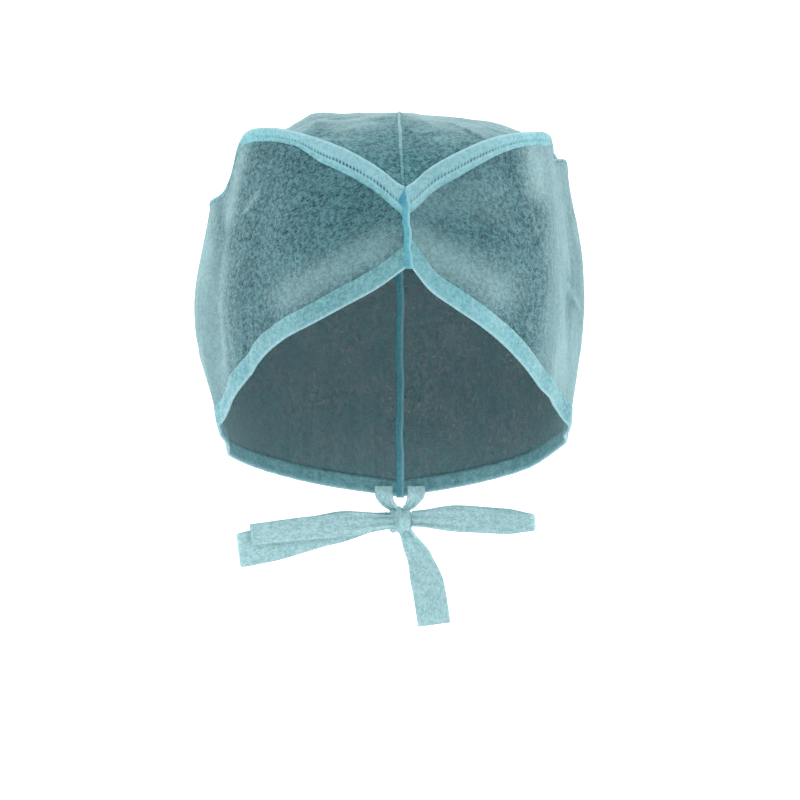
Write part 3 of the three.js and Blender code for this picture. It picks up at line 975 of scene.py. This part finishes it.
@dataclass
class Crown:
    """The crown: two arched halves that rise from inside the cuff, and the fin that joins them."""

    noise: SoftNoise
    cloth: bpy.types.Material
    binding: bpy.types.Material
    thick: float = 0.5
    inset: float = 1.5  # from the cuff's middle surface to the crown's
    tuck_low: float = 9.5
    tuck_high: float = 5.0
    first_row: float = 0.05
    last_row: float = 12.97
    along_step: float = 1.7
    arch_steps: int = 78
    tuck_steps: int = 4
    draw_in_power: float = 0.4
    seam_half: float = 0.35
    crumple: Crumple = Crumple(swell_length=36, swell_height=0.9, crease_height=0.4, crease_length=22)

    def __post_init__(self) -> None:
        """Draws the crown's middle line."""
        self.middle = SmoothLine([row.middle for row in CROWN_ROWS])

    def half(self, body: CapSide) -> bpy.types.Object:
        """Half of the crown: straight inside the binding, then an arch to the middle line.

        The arch is a rounded box curve: across it goes as a power of the cosine, up as the same
        power of the sine. Puckers rise from the binding and fade towards the middle.

        Args:
            body: The cap's side that it rises from.

        Returns:
            The piece.
        """
        sign = body.side.sign
        rows = body.low.even_rows(self.along_step, self.first_row, self.last_row)[:, None]
        out = body.outward(rows)
        tuck_depths = np.linspace(self.tuck_low, self.tuck_high, self.tuck_steps + 1)[None, :]
        tuck = body.surface(rows, 1 - tuck_depths * body.share_per_mm(rows, body.high)) - out * self.inset
        foot = tuck[:, -1:]
        top = self.middle.at(rows) + np.array([sign * self.seam_half, 0, 0])
        pick = 0 if body.side is Side.LEFT else 1
        sides = [(row.left, row.right)[pick] for row in CROWN_ROWS]
        power = 2 / value_at([boxiness for boxiness, _ in sides], rows)
        drawn = sign * value_at([inward for _, inward in sides], rows)
        share = np.linspace(0, 1, self.arch_steps + 1)[None, 1:]
        turn = share * np.pi / 2
        reach = foot[..., 0] - top[..., 0] - drawn * np.sin(turn) ** self.draw_in_power
        x = top[..., 0] + reach * np.clip(np.cos(turn), 0, 1) ** power
        y = foot[..., 1] + (top[..., 1] - foot[..., 1]) * share
        rise = np.sin(turn) ** power
        z = foot[..., 2] + (top[..., 2] - foot[..., 2]) * rise
        arch = np.stack([x, y, z], axis=-1)
        grid = np.concatenate([tuck, arch], axis=1)
        heights = np.concatenate([np.zeros((1, self.tuck_steps + 1)), share], axis=1)
        free = smoothstep(0.04, 0.3, heights) * (1 - smoothstep(0.9, 1.0, heights))
        pucker = 0.35 * bump(heights - 0.16, 0.16) * body.noise.at(
            np.broadcast_to(body.high.at(rows), grid.shape), 6.0)
        relief = free * self.crumple.at(self.noise, grid) + pucker * smoothstep(0.03, 0.1, heights)
        # pale is the painted highlight along the crown's creases.
        ridge, pale = crease_relief(CROWN_CREASES[body.side], grid)
        relief = relief + free * ridge
        normals = grid_normals(grid)
        facing = np.sign(np.mean(normals[..., 2]))
        grid = grid + normals * facing * relief[..., None]
        name = body.side.value
        form = shell(grid, self.thick, masks={"crease": pale * free})
        made = make_object(f"crown_cloth_{name}", form, self.cloth)
        return publish(made, f"crown_{name}")

    def fin(self) -> bpy.types.Object:
        """The fin where the halves are welded: a thin upright blade that wavers a little.

        Its section is a boxy circle, swept along the middle line and swayed by a noise at its top.

        Returns:
            The piece.
        """
        rows = self.middle.even_rows(0.9, self.first_row, self.last_row)[:, None]
        ahead = self.middle.ahead(rows)
        up = unit(np.stack([0 * ahead[..., 0], -ahead[..., 2], ahead[..., 1]], axis=-1))
        around = np.linspace(0, 2 * np.pi, 20, endpoint=False)[None, :]
        height = 0.3 + 0.65 * boxy(np.sin(around), 0.8)
        aside = 0.8 * boxy(np.cos(around), 0.6)
        line = self.middle.at(rows)
        waver = 0.5 * self.noise.at(line + 3.0, 8.0) * smoothstep(-0.6, 1.7, height)
        grid = line + up * height[..., None] + sideways(aside + waver)
        ones = np.ones(grid.shape[:2])
        faint = smoothstep(0.5, 4.5, rows) * ones
        # The pale and rim masks paint the fin lighter from a little behind the front on, a highlight along
        # the welded ridge.
        form = lump(grid, masks={"weld": 0 * ones, "pale": 0.7 * faint, "rim": 0.45 * faint,
                                 "bare": 1 - 0.5 * faint})
        made = make_object("crown_fin", form, self.binding)
        return publish(made, "crown_seam")


@dataclass
class SeamStrip:
    """A strip that covers the ends of the two panels, with a raised rib along one side."""

    name: str
    node: str
    left: CapSide
    right: CapSide
    row: float
    material: bpy.types.Material
    half_width: float
    half_thick: float
    rib_place: float = 0.62  # across the strip, -1 at its left edge and 1 at its right edge
    rib_height: float = 0.5
    wander: float = 0.3
    top_spread: float = 0.0  # how far its left edge swells near the top
    top_taper: float = 0.0  # share of its width that it loses at the top
    steps: int = 150

    def build(self) -> bpy.types.Object:
        """Sweeps a flat rounded section with a rib up the line between the panels.

        Returns:
            The piece.
        """
        share = np.linspace(-0.004, 1.004, self.steps)
        rows = np.full((1, 1), self.row)
        left = self.left.surface(rows, share[None, :])[0]
        right = self.right.surface(rows, share[None, :])[0]
        middle = (left + right) / 2
        ahead = unit(np.gradient(middle, axis=0))
        level = unit(right - left)
        out = unit(np.cross(level, ahead))
        facing = -1 if self.row > 0 else 1
        out = out * np.sign(np.sum(out[:, 1])) * -facing
        around = np.linspace(0, 2 * np.pi, 36, endpoint=False)
        across = boxy(np.cos(around), 0.55)
        height = self.half_thick * boxy(np.sin(around), 0.45)
        rib = self.rib_height * bump(across - self.rib_place, 0.3) * (np.sin(around) > 0)
        sway = self.wander * np.sin(share * 19.0) + 0.5 * self.wander * np.sin(share * 43.0 + 1.0)
        spread = self.top_spread * bump(share - 0.83, 0.08)[:, None] * np.clip(-across, 0, 1)[None, :]
        taper = 1 - self.top_taper * smoothstep(0.82, 0.99, share)[:, None]
        aside = across[None, :] * self.half_width * taper + sway[:, None] - spread
        grid = middle[:, None] + level[:, None] * aside[..., None]
        thick = (height + rib)[None, :] * (1 - 0.2 * self.top_taper * smoothstep(0.9, 1.0, share)[:, None])
        grid = grid + out[:, None] * thick[..., None]
        ones = np.ones(grid.shape[:2])
        # The rim mask paints a highlight along the strip's right side, over its rib.
        rim = smoothstep(0.2, 0.55, across)[None, :] * ones
        # A darker patch on the strip's left part near its top, where it spreads, carried on the weld mask.
        deep = self.top_spread * 0.3 * bump(share - 0.84, 0.1)[:, None] * smoothstep(0.4, -0.2, across)
        form = lump(grid, masks={"rim": rim, "weld": deep * ones, "pale": 0 * ones})
        made = make_object(self.name, form, self.material)
        return publish(made, self.node)


@dataclass(frozen=True)
class RibbonPoint:
    """A point on a ribbon's middle line, with its width and the turn of that width in degrees."""

    name: str
    place: Point
    width: float
    turn: float


RIBBONS = {
    "tie_left": rows_of(
        RibbonPoint,
        ("behind_binding", (-9.5, 88.4, -206.8), 10, 90),
        ("below_binding", (-9.2, 87.9, -212.6), 10, 90),
        ("free", (-7.2, 91.4, -216.8), 8, 90),
        ("at_knot", (-4, 96.3, -219.4), 5, 90),
    ),
    "tie_right": rows_of(
        RibbonPoint,
        ("behind_binding", (9.5, 88.4, -206.8), 10, 90),
        ("below_binding", (9.2, 87.9, -212.6), 10, 90),
        ("free", (7.2, 91.4, -216.8), 8, 90),
        ("at_knot", (4, 96.3, -219.4), 5, 90),
    ),
    "bow_loop_left": rows_of(
        RibbonPoint,
        ("from_knot", (-8.4, 96, -227), 9, 0),
        ("front_swell", (-38, 89, -232), 17, -4),
        ("front_end", (-72, 79, -240), 19, -7),
        ("tip_front", (-89.5, 73, -243.2), 19, -8),
        ("tip", (-92.5, 74.6, -243.6), 19, -8),
        ("tip_back", (-90.5, 77.2, -243), 19, -8),
        ("back_end", (-72, 88, -239), 19, -7),
        ("back_swell", (-38, 99, -231), 17, -4),
        ("to_knot", (-8.4, 99.5, -227), 9, 0),
    ),
    "bow_loop_right": rows_of(
        RibbonPoint,
        ("from_knot", (8.4, 96, -226), 9, 0),
        ("front_swell", (34, 90, -226), 15, 0),
        ("front_end", (60, 82, -227.5), 14, 0),
        ("tip_front", (74.5, 75.5, -227.6), 10, 0),
        ("tip", (77, 77, -227.6), 9, 0),
        ("tip_back", (75.5, 79.5, -227.5), 10, 0),
        ("back_end", (60, 90, -227), 14, 0),
        ("back_swell", (34, 99, -226), 15, 0),
        ("to_knot", (8.4, 99.5, -226), 9, 0),
    ),
    "tie_tail_left": rows_of(
        RibbonPoint,
        ("from_knot", (-4.5, 92.2, -228), 8, 0),
        ("swell", (-30, 86.2, -229), 14, -2),
        ("middle", (-56, 78.6, -231.2), 13, -5),
        ("end", (-85.5, 70, -234.3), 12, -6),
    ),
    "tie_tail_right": rows_of(
        RibbonPoint,
        ("from_knot", (3, 102.5, -233.2), 8, 90),
        ("swell", (11, 104.5, -248), 15, 88),
        ("middle", (16, 101, -264), 19, 84),
        ("end", (20, 97, -288), 19, 82),
    ),
}


@dataclass
class Bow:
    """The bow at the nape: folded strips as flat tubes of cloth, and the knot that holds them."""

    noise: SoftNoise
    material: bpy.types.Material
    half_thick: float = 0.62
    wall: float = 0.28
    step: float = 0.9
    around: int = 44
    knot_middle: Point = (0.0, 98.0, -227.0)
    knot_half: Point = (8.0, 5.5, 8.0)
    tuck: float = 1.3  # how far a strip's end is drawn on into the knot

    def build(self) -> list[bpy.types.Object]:
        """Makes every strip and the knot.

        Returns:
            The pieces.
        """
        pieces = [self.strip(node, points) for node, points in RIBBONS.items()]
        return [*pieces, self.knot()]

    def place(self, point: RibbonPoint) -> Array:
        """Where a strip's point lies, with the ends at the knot drawn on towards its middle.

        Args:
            point: A point of a ribbon's table.

        Returns:
            Its place.
        """
        place = np.array(point.place, dtype=float)
        tuck = self.tuck if "knot" in point.name else 0.0
        return place + tuck * unit(np.array(self.knot_middle) - place)

    def strip(self, node: str, points: tuple[RibbonPoint, ...]) -> bpy.types.Object:
        """A strip folded lengthwise: a very flat tube swept along a line, pleated near the knot.

        The section is a rounded rectangle. The pleats are a cosine across the width that fades
        with the distance from the knot, and a noise makes the face uneven.

        Args:
            node: The CAD node that it stands for.
            points: Its line.

        Returns:
            The piece.
        """
        line = SmoothLine([self.place(point) for point in points])
        rows = line.even_rows(self.step)[:, None]
        middle = line.at(rows)
        half = value_at([point.width for point in points], rows) / 2
        turn = np.radians(value_at([point.turn for point in points], rows))
        edge = np.stack([np.sin(turn), 0 * turn, np.cos(turn)], axis=-1)
        ahead = line.ahead(rows)
        out = unit(np.cross(ahead, edge))
        angle = np.linspace(0, 2 * np.pi, self.around, endpoint=False)[None, :]
        across = boxy(np.cos(angle), 0.6)
        lift = self.half_thick * boxy(np.sin(angle), 0.5)
        near = bump(np.linalg.norm(middle - np.array(self.knot_middle), axis=-1), 26.0)
        pleat = 1.1 * near * np.cos(np.pi * 2.5 * across + 0.6)
        uneven = 0.55 * self.noise.at(middle + edge * (across * half)[..., None], 11.0) \
            + 0.22 * self.noise.at(middle + edge * (across * half)[..., None], 4.5)
        grid = middle + edge * (across * half)[..., None] + out * (lift + pleat + uneven)[..., None]
        name = node.replace("tie_tail", "tail").replace("bow_loop", "loop") + "_strip"
        rim = bump(1 - np.abs(across), 0.12) * np.ones(grid.shape[:2])
        made = make_object(name, shell(grid, self.wall, ring=True, masks={"rim": rim}), self.material)
        return publish(made, node)

    def knot(self) -> bpy.types.Object:
        """The knot: a rounded body whose pleats run round it, drawn in by three grooves.

        Returns:
            The piece.
        """
        along = np.linspace(-1, 1, 60)[:, None]
        around = np.linspace(0, 2 * np.pi, 96, endpoint=False)[None, :]
        girth = np.clip(1 - np.abs(along) ** 2.6, 0.02, 1) ** 0.5
        groove = 0.1 * np.cos(np.pi * 3.2 * along + 0.5 * np.sin(around)) \
            + 0.05 * np.sin(2 * around + 3 * along)
        reach = girth * (1 - 0.06 + groove * girth)
        half_x, half_y, half_z = self.knot_half
        place = np.stack([along * half_x * np.ones_like(around), reach * half_y * np.cos(around),
                          reach * half_z * np.sin(around)], axis=-1)
        grid = np.array(self.knot_middle) + place
        grid = grid + place * (0.05 * self.noise.at(grid, 3.0))[..., None]
        made = make_object("knot_wrap", lump(grid, masks={"rim": np.zeros(grid.shape[:2])}), self.material)
        return publish(made, "tie_knot")


# ---------------------------------------------------------------- finishes


class Nodes:
    """A short way to add and link the nodes of one tree."""

    def __init__(self, tree: bpy.types.NodeTree) -> None:
        """Keeps the tree that nodes are added to."""
        self.tree = tree

    def add(self, kind: str, settings: dict | None = None, **inputs: object) -> bpy.types.Node:
        """Adds a node, sets it and fills its inputs.

        Args:
            kind: The node's type without its ShaderNode prefix.
            settings: Properties of the node.
            **inputs: Sockets by name, with _ for a space, or by number as i0, i1 and so on.

        Returns:
            The node.
        """
        node = self.tree.nodes.new(f"ShaderNode{kind}")
        for name, value in (settings or {}).items():
            setattr(node, name, value)
        for name, value in inputs.items():
            key = int(name[1:]) if name[0] == "i" and name[1:].isdigit() else name.replace("_", " ")
            if isinstance(value, bpy.types.NodeSocket):
                self.tree.links.new(value, node.inputs[key])
            else:
                node.inputs[key].default_value = value
        return node

    def math(self, operation: str, first: object, second: object = 0.0) -> bpy.types.NodeSocket:
        """The result of a Math node."""
        return self.add("Math", {"operation": operation}, i0=first, i1=second).outputs[0]

    def times(self, first: object, second: object) -> bpy.types.NodeSocket:
        """One value times another."""
        return self.math("MULTIPLY", first, second)

    def plus(self, first: object, second: object) -> bpy.types.NodeSocket:
        """One value plus another."""
        return self.math("ADD", first, second)

    def noise(self, place: object, scale: object, detail: float, roughness: float = 0.5,
              flat: bool = False) -> bpy.types.bpy_prop_collection:
        """The outputs of a noise.

        Args:
            place: Where it is read.
            scale: Its scale.
            detail: Its detail.
            roughness: Its roughness.
            flat: Whether it reads X and Y alone.

        Returns:
            Its value and its colour.
        """
        settings = {"noise_dimensions": "2D"} if flat else None
        return self.add("TexNoise", settings, Vector=place, Scale=scale, Detail=detail,
                        Roughness=roughness).outputs

    def mask(self, name: str) -> bpy.types.NodeSocket:
        """A mask that the mesh carries."""
        return self.add("Attribute", {"attribute_name": name}).outputs["Fac"]

    def ramp(self, value: object, low: float, high: float, to_low: float = 0.0,
             to_high: float = 1.0) -> bpy.types.NodeSocket:
        """A value mapped by a smoothstep from one range to another.

        Args:
            value: The value.
            low: Where the first range starts.
            high: Where it ends.
            to_low: What the start becomes.
            to_high: What the end becomes.

        Returns:
            The mapped value.
        """
        node = self.add("MapRange", {"interpolation_type": "SMOOTHSTEP"}, Value=value,
                        From_Min=low, From_Max=high, To_Min=to_low, To_Max=to_high)
        return node.outputs["Result"]

    def blend(self, share: object, first: object, second: object) -> bpy.types.NodeSocket:
        """A colour between two others.

        Args:
            share: How far it lies towards the second, from 0 to 1.
            first: A colour or a socket.
            second: A colour or a socket.

        Returns:
            The colour.
        """
        node = self.add("Mix", {"data_type": "RGBA", "clamp_factor": True}, i0=share)
        for key, value in ((6, first), (7, second)):
            if isinstance(value, bpy.types.NodeSocket):
                self.tree.links.new(value, node.inputs[key])
            else:
                node.inputs[key].default_value = value
        return node.outputs[2]


def linear(red: int, green: int, blue: int) -> Color:
    """A screen colour as linear light, by the usual curve of a straight foot and a power of 2.4.

    Args:
        red: Red from 0 to 255.
        green: Green from 0 to 255.
        blue: Blue from 0 to 255.

    Returns:
        The colour with full alpha.
    """
    shares = (value / 255 for value in (red, green, blue))
    light = (v / 12.92 if v <= 0.04045 else ((v + 0.055) / 1.055) ** 2.4 for v in shares)
    return (*light, 1.0)


def fibre_group() -> bpy.types.NodeTree:
    """The group that spun cloth shares: cloudy density, crossing fibres and bonded points.

    Flecks, tufts and clouds are noises in space, from fine to coarse. Where the Airy input is high they
    give way to a noise drawn out upright. Fibres are noises stretched along five directions of the
    flat map, cut to thin streaks. Bonded points are the peaks of two crossing sines, and show in
    the relief alone.

    Returns:
        The node group.
    """
    tree = bpy.data.node_groups.new("spun fibres", "ShaderNodeTree")
    for names, way in ((("Place", "Flat", "Fleck Scale", "Airy"), "INPUT"),
                       (("Density", "Fibres", "Relief"), "OUTPUT")):
        for name in names:
            kind = "NodeSocketVector" if name in ("Place", "Flat") else "NodeSocketFloat"
            tree.interface.new_socket(name, in_out=way, socket_type=kind)
    nodes = Nodes(tree)
    given = tree.nodes.new("NodeGroupInput").outputs
    place, scale = given["Place"], given["Fleck Scale"]
    clouds = nodes.noise(place, 52.0, 3.0, 0.55)[0]
    sway = nodes.noise(place, 260.0, 1.0)[1]
    sway = nodes.add("VectorMath", {"operation": "SCALE"}, i0=sway, Scale=0.003).outputs[0]
    flat = nodes.add("VectorMath", {"operation": "ADD"}, i0=given["Flat"], i1=sway).outputs[0]
    flecks = nodes.noise(place, scale, 3.0, 0.62)[0]
    tufts = nodes.noise(place, nodes.times(scale, 0.42), 2.0, 0.6)[0]
    fibres: object = 0.0
    for turn in (0.45, 1.15, 1.5, 1.9, 2.65):
        laid = nodes.add("Mapping", Vector=flat, Rotation=(0.0, 0.0, turn), Scale=(230.0, 1900.0, 1.0),
                         Location=(turn, -turn, 0.0)).outputs[0]
        streak = nodes.noise(laid, 1.0, 1.0, flat=True)[0]
        fibres = nodes.math("MAXIMUM", fibres, nodes.ramp(streak, 0.57, 0.72))
    parts = nodes.add("SeparateXYZ", Vector=given["Flat"]).outputs
    slant = [nodes.math(way, parts[0], parts[1]) for way in ("ADD", "SUBTRACT")]
    waves = [nodes.math("SINE", nodes.times(value, 3600.0)) for value in slant]
    bonds = nodes.ramp(nodes.times(*waves), 0.25, 0.8)
    density = nodes.times(nodes.ramp(flecks, 0.34, 0.66), 0.42)
    density = nodes.plus(density, nodes.times(nodes.ramp(tufts, 0.37, 0.63), 0.43))
    density = nodes.plus(density, nodes.times(fibres, 0.15))
    density = nodes.plus(density, nodes.ramp(clouds, 0.3, 0.7, -0.1, 0.1))
    upright = nodes.add("Mapping", Vector=flat, Scale=(420.0, 40.0, 1.0)).outputs[0]
    streaks = nodes.noise(upright, 1.0, 2.0, flat=True)[0]
    calm = nodes.times(given["Airy"], 0.6)
    smooth = nodes.times(nodes.ramp(streaks, 0.3, 0.7, 0.35, 0.85), calm)
    density = nodes.plus(nodes.times(density, nodes.math("SUBTRACT", 1.0, calm)), smooth)
    relief = nodes.plus(density, nodes.times(fibres, 0.3))
    relief = nodes.math("SUBTRACT", relief, nodes.times(bonds, 0.35))
    out = tree.nodes.new("NodeGroupOutput")
    for name, value in (("Density", density), ("Fibres", fibres), ("Relief", relief)):
        tree.links.new(value, out.inputs[name])
    return tree


@dataclass(frozen=True)
class SpunFinish:
    """The finish of spun cloth, from its thin places to its dense ones."""

    name: str
    thin: Color
    dense: Color
    thin_alpha: float
    dense_alpha: float
    light: Color  # colour of the painted light over the sides, in the crease highlights and light patches, and at low angles
    fleck_scale: float = 1050.0
    fibre_share: float = 0.35
    rough_low: float = 0.62
    rough_high: float = 0.86
    relief: float = 0.00012
    sheen: float = 0.45
    grazing_highlight_share: float = 0.0  # painted highlight: how far the cloth turns light where it is seen at a low angle

    def build(self, fibres: bpy.types.NodeTree) -> bpy.types.Material:
        """Makes the material of this finish.

        Args:
            fibres: The shared group of the cloth's fibres.

        Returns:
            The material.
        """
        material = bpy.data.materials.new(self.name)
        material.use_nodes = True
        nodes = Nodes(material.node_tree)
        shader = material.node_tree.nodes["Principled BSDF"]
        place = nodes.add("TexCoord").outputs["Object"]
        flat = nodes.add("UVMap", {"uv_map": UV_NAME}).outputs[0]
        crease, airy = nodes.mask("crease"), nodes.mask("airy")
        cloth = nodes.add("Group", {"node_tree": fibres}, Place=place, Flat=flat,
                          Fleck_Scale=self.fleck_scale, Airy=airy).outputs
        color = nodes.blend(cloth["Density"], self.thin, self.dense)
        pale = tuple(min(1.0, 1.25 * v) for v in self.dense[:3]) + (1.0,)
        color = nodes.blend(nodes.times(cloth["Fibres"], self.fibre_share), color, pale)
        # Painted light: the cloth over the sides, the crease highlights and the light patches blend
        # towards the light colour.
        color = nodes.blend(nodes.times(airy, 0.55), color, self.light)
        color = nodes.blend(crease, color, self.light)
        # Painted highlight that lightens the cloth where it is seen at a low angle.
        if self.grazing_highlight_share:
            facing = nodes.add("LayerWeight", Blend=0.5).outputs["Facing"]
            color = nodes.blend(nodes.ramp(facing, 0.5, 0.86, 0.0, self.grazing_highlight_share), color, self.light)
        color, alpha = self.marks(nodes, color, cloth)
        links = material.node_tree.links
        links.new(color, shader.inputs["Base Color"])
        links.new(alpha, shader.inputs["Alpha"])
        links.new(nodes.ramp(cloth["Density"], 0.0, 1.0, self.rough_high, self.rough_low),
                  shader.inputs["Roughness"])
        raised = nodes.add("Bump", Strength=0.7, Distance=self.relief, Height=cloth["Relief"])
        links.new(raised.outputs[0], shader.inputs["Normal"])
        shader.inputs["Sheen Weight"].default_value = self.sheen
        shader.inputs["Sheen Roughness"].default_value = 0.4
        shader.inputs["Sheen Tint"].default_value = (0.72, 0.95, 1.0, 1.0)
        shader.inputs["Specular IOR Level"].default_value = 0.3
        return material

    def marks(self, nodes: Nodes, color: object, cloth: object) -> tuple[object, object]:
        """Colour and alpha of plain cloth, which lets light through where it is thin."""
        return color, self.alpha(nodes, cloth)

    def alpha(self, nodes: Nodes, cloth: object) -> bpy.types.NodeSocket:
        """The alpha, which grows with the cloth's density."""
        return nodes.ramp(cloth["Density"], 0.0, 1.0, self.thin_alpha, self.dense_alpha)


@dataclass(frozen=True)
class BandFinish(SpunFinish):
    """The finish of folded bands: paler where doubled, lightest where the rim mask paints a highlight, as
    on the fold, dark in the marks.
    """

    pale: Color = (0.5, 0.7, 0.75, 1.0)
    # rim is the colour of the painted highlight.
    rim: Color = (0.6, 0.8, 0.85, 1.0)
    mark: Color = (0.1, 0.25, 0.3, 1.0)
    bare_thin: Color = (0.1, 0.24, 0.26, 1.0)
    bare_dense: Color = (0.26, 0.47, 0.5, 1.0)
    rim_highlight_share: float = 0.8

    def marks(self, nodes: Nodes, color: object, cloth: object) -> tuple[object, object]:
        """Colour and alpha with the band's own masks laid over the cloth.

        Args:
            nodes: The material's nodes.
            color: The cloth's colour.
            cloth: The fibre group's outputs.

        Returns:
            The colour and the alpha.
        """
        pale, rim, weld, bare = (nodes.mask(name) for name in ("pale", "rim", "weld", "bare"))
        pale = nodes.times(pale, nodes.ramp(cloth["Density"], 0.0, 0.8, 0.55, 0.95))
        color = nodes.blend(pale, color, self.pale)
        single = nodes.blend(cloth["Density"], self.bare_thin, self.bare_dense)
        color = nodes.blend(nodes.times(bare, 0.85), color, single)
        # Painted highlight where the rim mask lies.
        color = nodes.blend(nodes.times(rim, self.rim_highlight_share), color, self.rim)
        color = nodes.blend(weld, color, self.mark)
        return color, self.alpha(nodes, cloth)


# ---------------------------------------------------------------- studio


@dataclass(frozen=True)
class Studio:
    """Camera, soft lights and a pale round backdrop that rises smoothly from the floor."""

    camera_place: Point = (0.0, -1585.0, -157.0)
    camera_lens: float = 129.8
    floor_height: float = -450.0
    floor_reach: float = 2900.0
    rise_radius: float = 900.0
    wall_top: float = 2600.0
    wall_color: Color = (0.93, 0.94, 0.95, 1.0)
    wall_glow: float = 0.1
    wall_glow_seen: float = 0.8

    def camera(self) -> None:
        """Places the camera level, looking along +Y."""
        data = bpy.data.cameras.new("camera")
        data.lens = self.camera_lens
        data.clip_start, data.clip_end = 0.05, 30.0
        made = bpy.data.objects.new("camera", data)
        made.location = tuple(v * MM for v in self.camera_place)
        made.rotation_euler = (math.pi / 2, 0.0, 0.0)
        bpy.context.scene.collection.objects.link(made)
        bpy.context.scene.camera = made

    def light(self, name: str, place: Point, size: float, watts: float) -> None:
        """Hangs a square soft light that points at the cap.

        Args:
            name: Its name.
            place: Where it hangs.
            size: Length of its side.
            watts: Its power.
        """
        data = bpy.data.lights.new(name, "AREA")
        data.shape, data.size, data.energy = "SQUARE", size * MM, watts
        made = bpy.data.objects.new(name, data)
        made.location = tuple(v * MM for v in place)
        aim = np.array([0.0, 0.0, -110.0]) - np.array(place)
        yaw = math.atan2(aim[1], aim[0]) - math.pi / 2
        pitch = math.atan2(aim[2], math.hypot(aim[0], aim[1]))
        made.rotation_euler = (math.pi / 2 + pitch, 0.0, yaw)
        made.visible_camera = False
        bpy.context.scene.collection.objects.link(made)

    def backdrop(self) -> None:
        """Turns a profile round the Z axis: flat floor, a quarter circle and a wall."""
        arc = np.linspace(0, np.pi / 2, 24)
        reach = np.concatenate([np.linspace(1, self.floor_reach, 12),
                                self.floor_reach + self.rise_radius * np.sin(arc[1:]),
                                [self.floor_reach + self.rise_radius]])
        height = np.concatenate([np.zeros(12), self.rise_radius * (1 - np.cos(arc[1:])),
                                 [self.wall_top - self.floor_height]]) + self.floor_height
        around = np.linspace(0, 2 * np.pi, 128, endpoint=False)[None, :]
        grid = np.stack([reach[:, None] * np.cos(around), reach[:, None] * np.sin(around),
                         np.broadcast_to(height[:, None], (len(height), 128))], axis=-1)
        material = bpy.data.materials.new("backdrop paper")
        material.use_nodes = True
        nodes = Nodes(material.node_tree)
        shader = material.node_tree.nodes["Principled BSDF"]
        grain = nodes.add("TexNoise", Vector=nodes.add("TexCoord").outputs["Object"], Scale=6.0)
        dim = tuple(0.985 * v for v in self.wall_color[:3]) + (1.0,)
        color = nodes.blend(grain.outputs[0], dim, self.wall_color)
        material.node_tree.links.new(color, shader.inputs["Base Color"])
        shader.inputs["Roughness"].default_value = 0.9
        shader.inputs["Emission Color"].default_value = (1.0, 1.0, 1.0, 1.0)
        seen = nodes.add("LightPath").outputs["Is Camera Ray"]
        glow = nodes.ramp(seen, 0.0, 1.0, self.wall_glow, self.wall_glow_seen)
        material.node_tree.links.new(glow, shader.inputs["Emission Strength"])
        quads = grid_quads(*grid.shape[:2], True)
        fan = np.stack([np.full(128, grid[..., 0].size), np.arange(128), np.roll(np.arange(128), -1)],
                       axis=-1)
        centre = np.array([[0.0, 0.0, self.floor_height]])
        vertices = np.concatenate([grid.reshape(-1, 3), centre])
        form = Form(vertices, (quads, fan), vertices[:, :2])
        make_object("floor", form, material)

    def build(self) -> None:
        """Sets up the whole studio."""
        bpy.context.scene.view_settings.view_transform = "Standard"
        self.camera()
        self.backdrop()
        self.light("key", (-900, -1700, 900), 1300, 14.0)
        self.light("fill", (1300, -1500, 300), 1300, 8.0)
        self.light("top", (0, 200, 1500), 1400, 11.0)
        self.light("side_left", (-1500, 650, 200), 900, 20.0)
        self.light("side_right", (1500, 650, 200), 900, 20.0)
        world = bpy.data.worlds.new("soft room")
        world.use_nodes = True
        background = world.node_tree.nodes["Background"]
        background.inputs[0].default_value = (0.94, 0.97, 1.0, 1.0)
        background.inputs[1].default_value = 0.3
        bpy.context.scene.world = world


def main() -> None:
    """Builds the studio, the finishes and every piece."""
    logging.basicConfig(level=logging.INFO, format="%(name)s: %(message)s")
    Studio().build()
    fibres = fibre_group()
    # The colour of painted light on the cloth: where light shines through it, in crease highlights and at
    # low angles.
    airy = linear(146, 182, 185)
    # The dark thin colours of the cuff and crown cloth are partly the cloth's own teal, partly painted
    # shade of the dark inside seen through its thin places; the cuff's colours are darker still, painted
    # shade over the cuff.
    cloth = SpunFinish("cuff cloth", linear(7, 45, 54), linear(83, 132, 139), 0.74, 0.97, airy, sheen=0.25)
    crown = SpunFinish("crown cloth", linear(21, 73, 81), linear(106, 159, 166), 0.72, 0.96, airy,
                       grazing_highlight_share=0.75)
    band = BandFinish("band", linear(86, 152, 160), linear(118, 182, 189), 0.88, 1.0, airy,
                      pale=linear(143, 189, 197), rim=linear(176, 217, 225), mark=linear(16, 76, 90),
                      bare_thin=linear(58, 112, 120), bare_dense=linear(122, 168, 174))
    seam = BandFinish("seam", linear(62, 140, 158), linear(98, 170, 182), 0.95, 1.0, airy,
                      pale=linear(110, 168, 184), rim=linear(146, 200, 210), mark=linear(34, 112, 146))
    tie = SpunFinish("tie", linear(138, 184, 189), linear(176, 211, 214), 0.88, 1.0, airy)
    cloth_m, crown_m, band_m, seam_m, tie_m = (f.build(fibres) for f in (cloth, crown, band, seam, tie))
    noise = SoftNoise(seed=7)
    left, right = CapSide(Side.LEFT, noise), CapSide(Side.RIGHT, noise)
    for body in (left, right):
        Cuff(body, cloth_m, band_m).build()
    dome = Crown(noise, crown_m, band_m)
    for body in (left, right):
        dome.half(body)
    dome.fin()
    SeamStrip("front_strip", "front_seam", left, right, 0.0, seam_m, 2.1, 1.05,
              top_spread=1.9, top_taper=0.85).build()
    SeamStrip("back_strip", "back_seam", left, right, 13.0, seam_m, 2.3, 1.05).build()
    Bow(noise, tie_m).build()


if __name__ == "__main__":
    main()
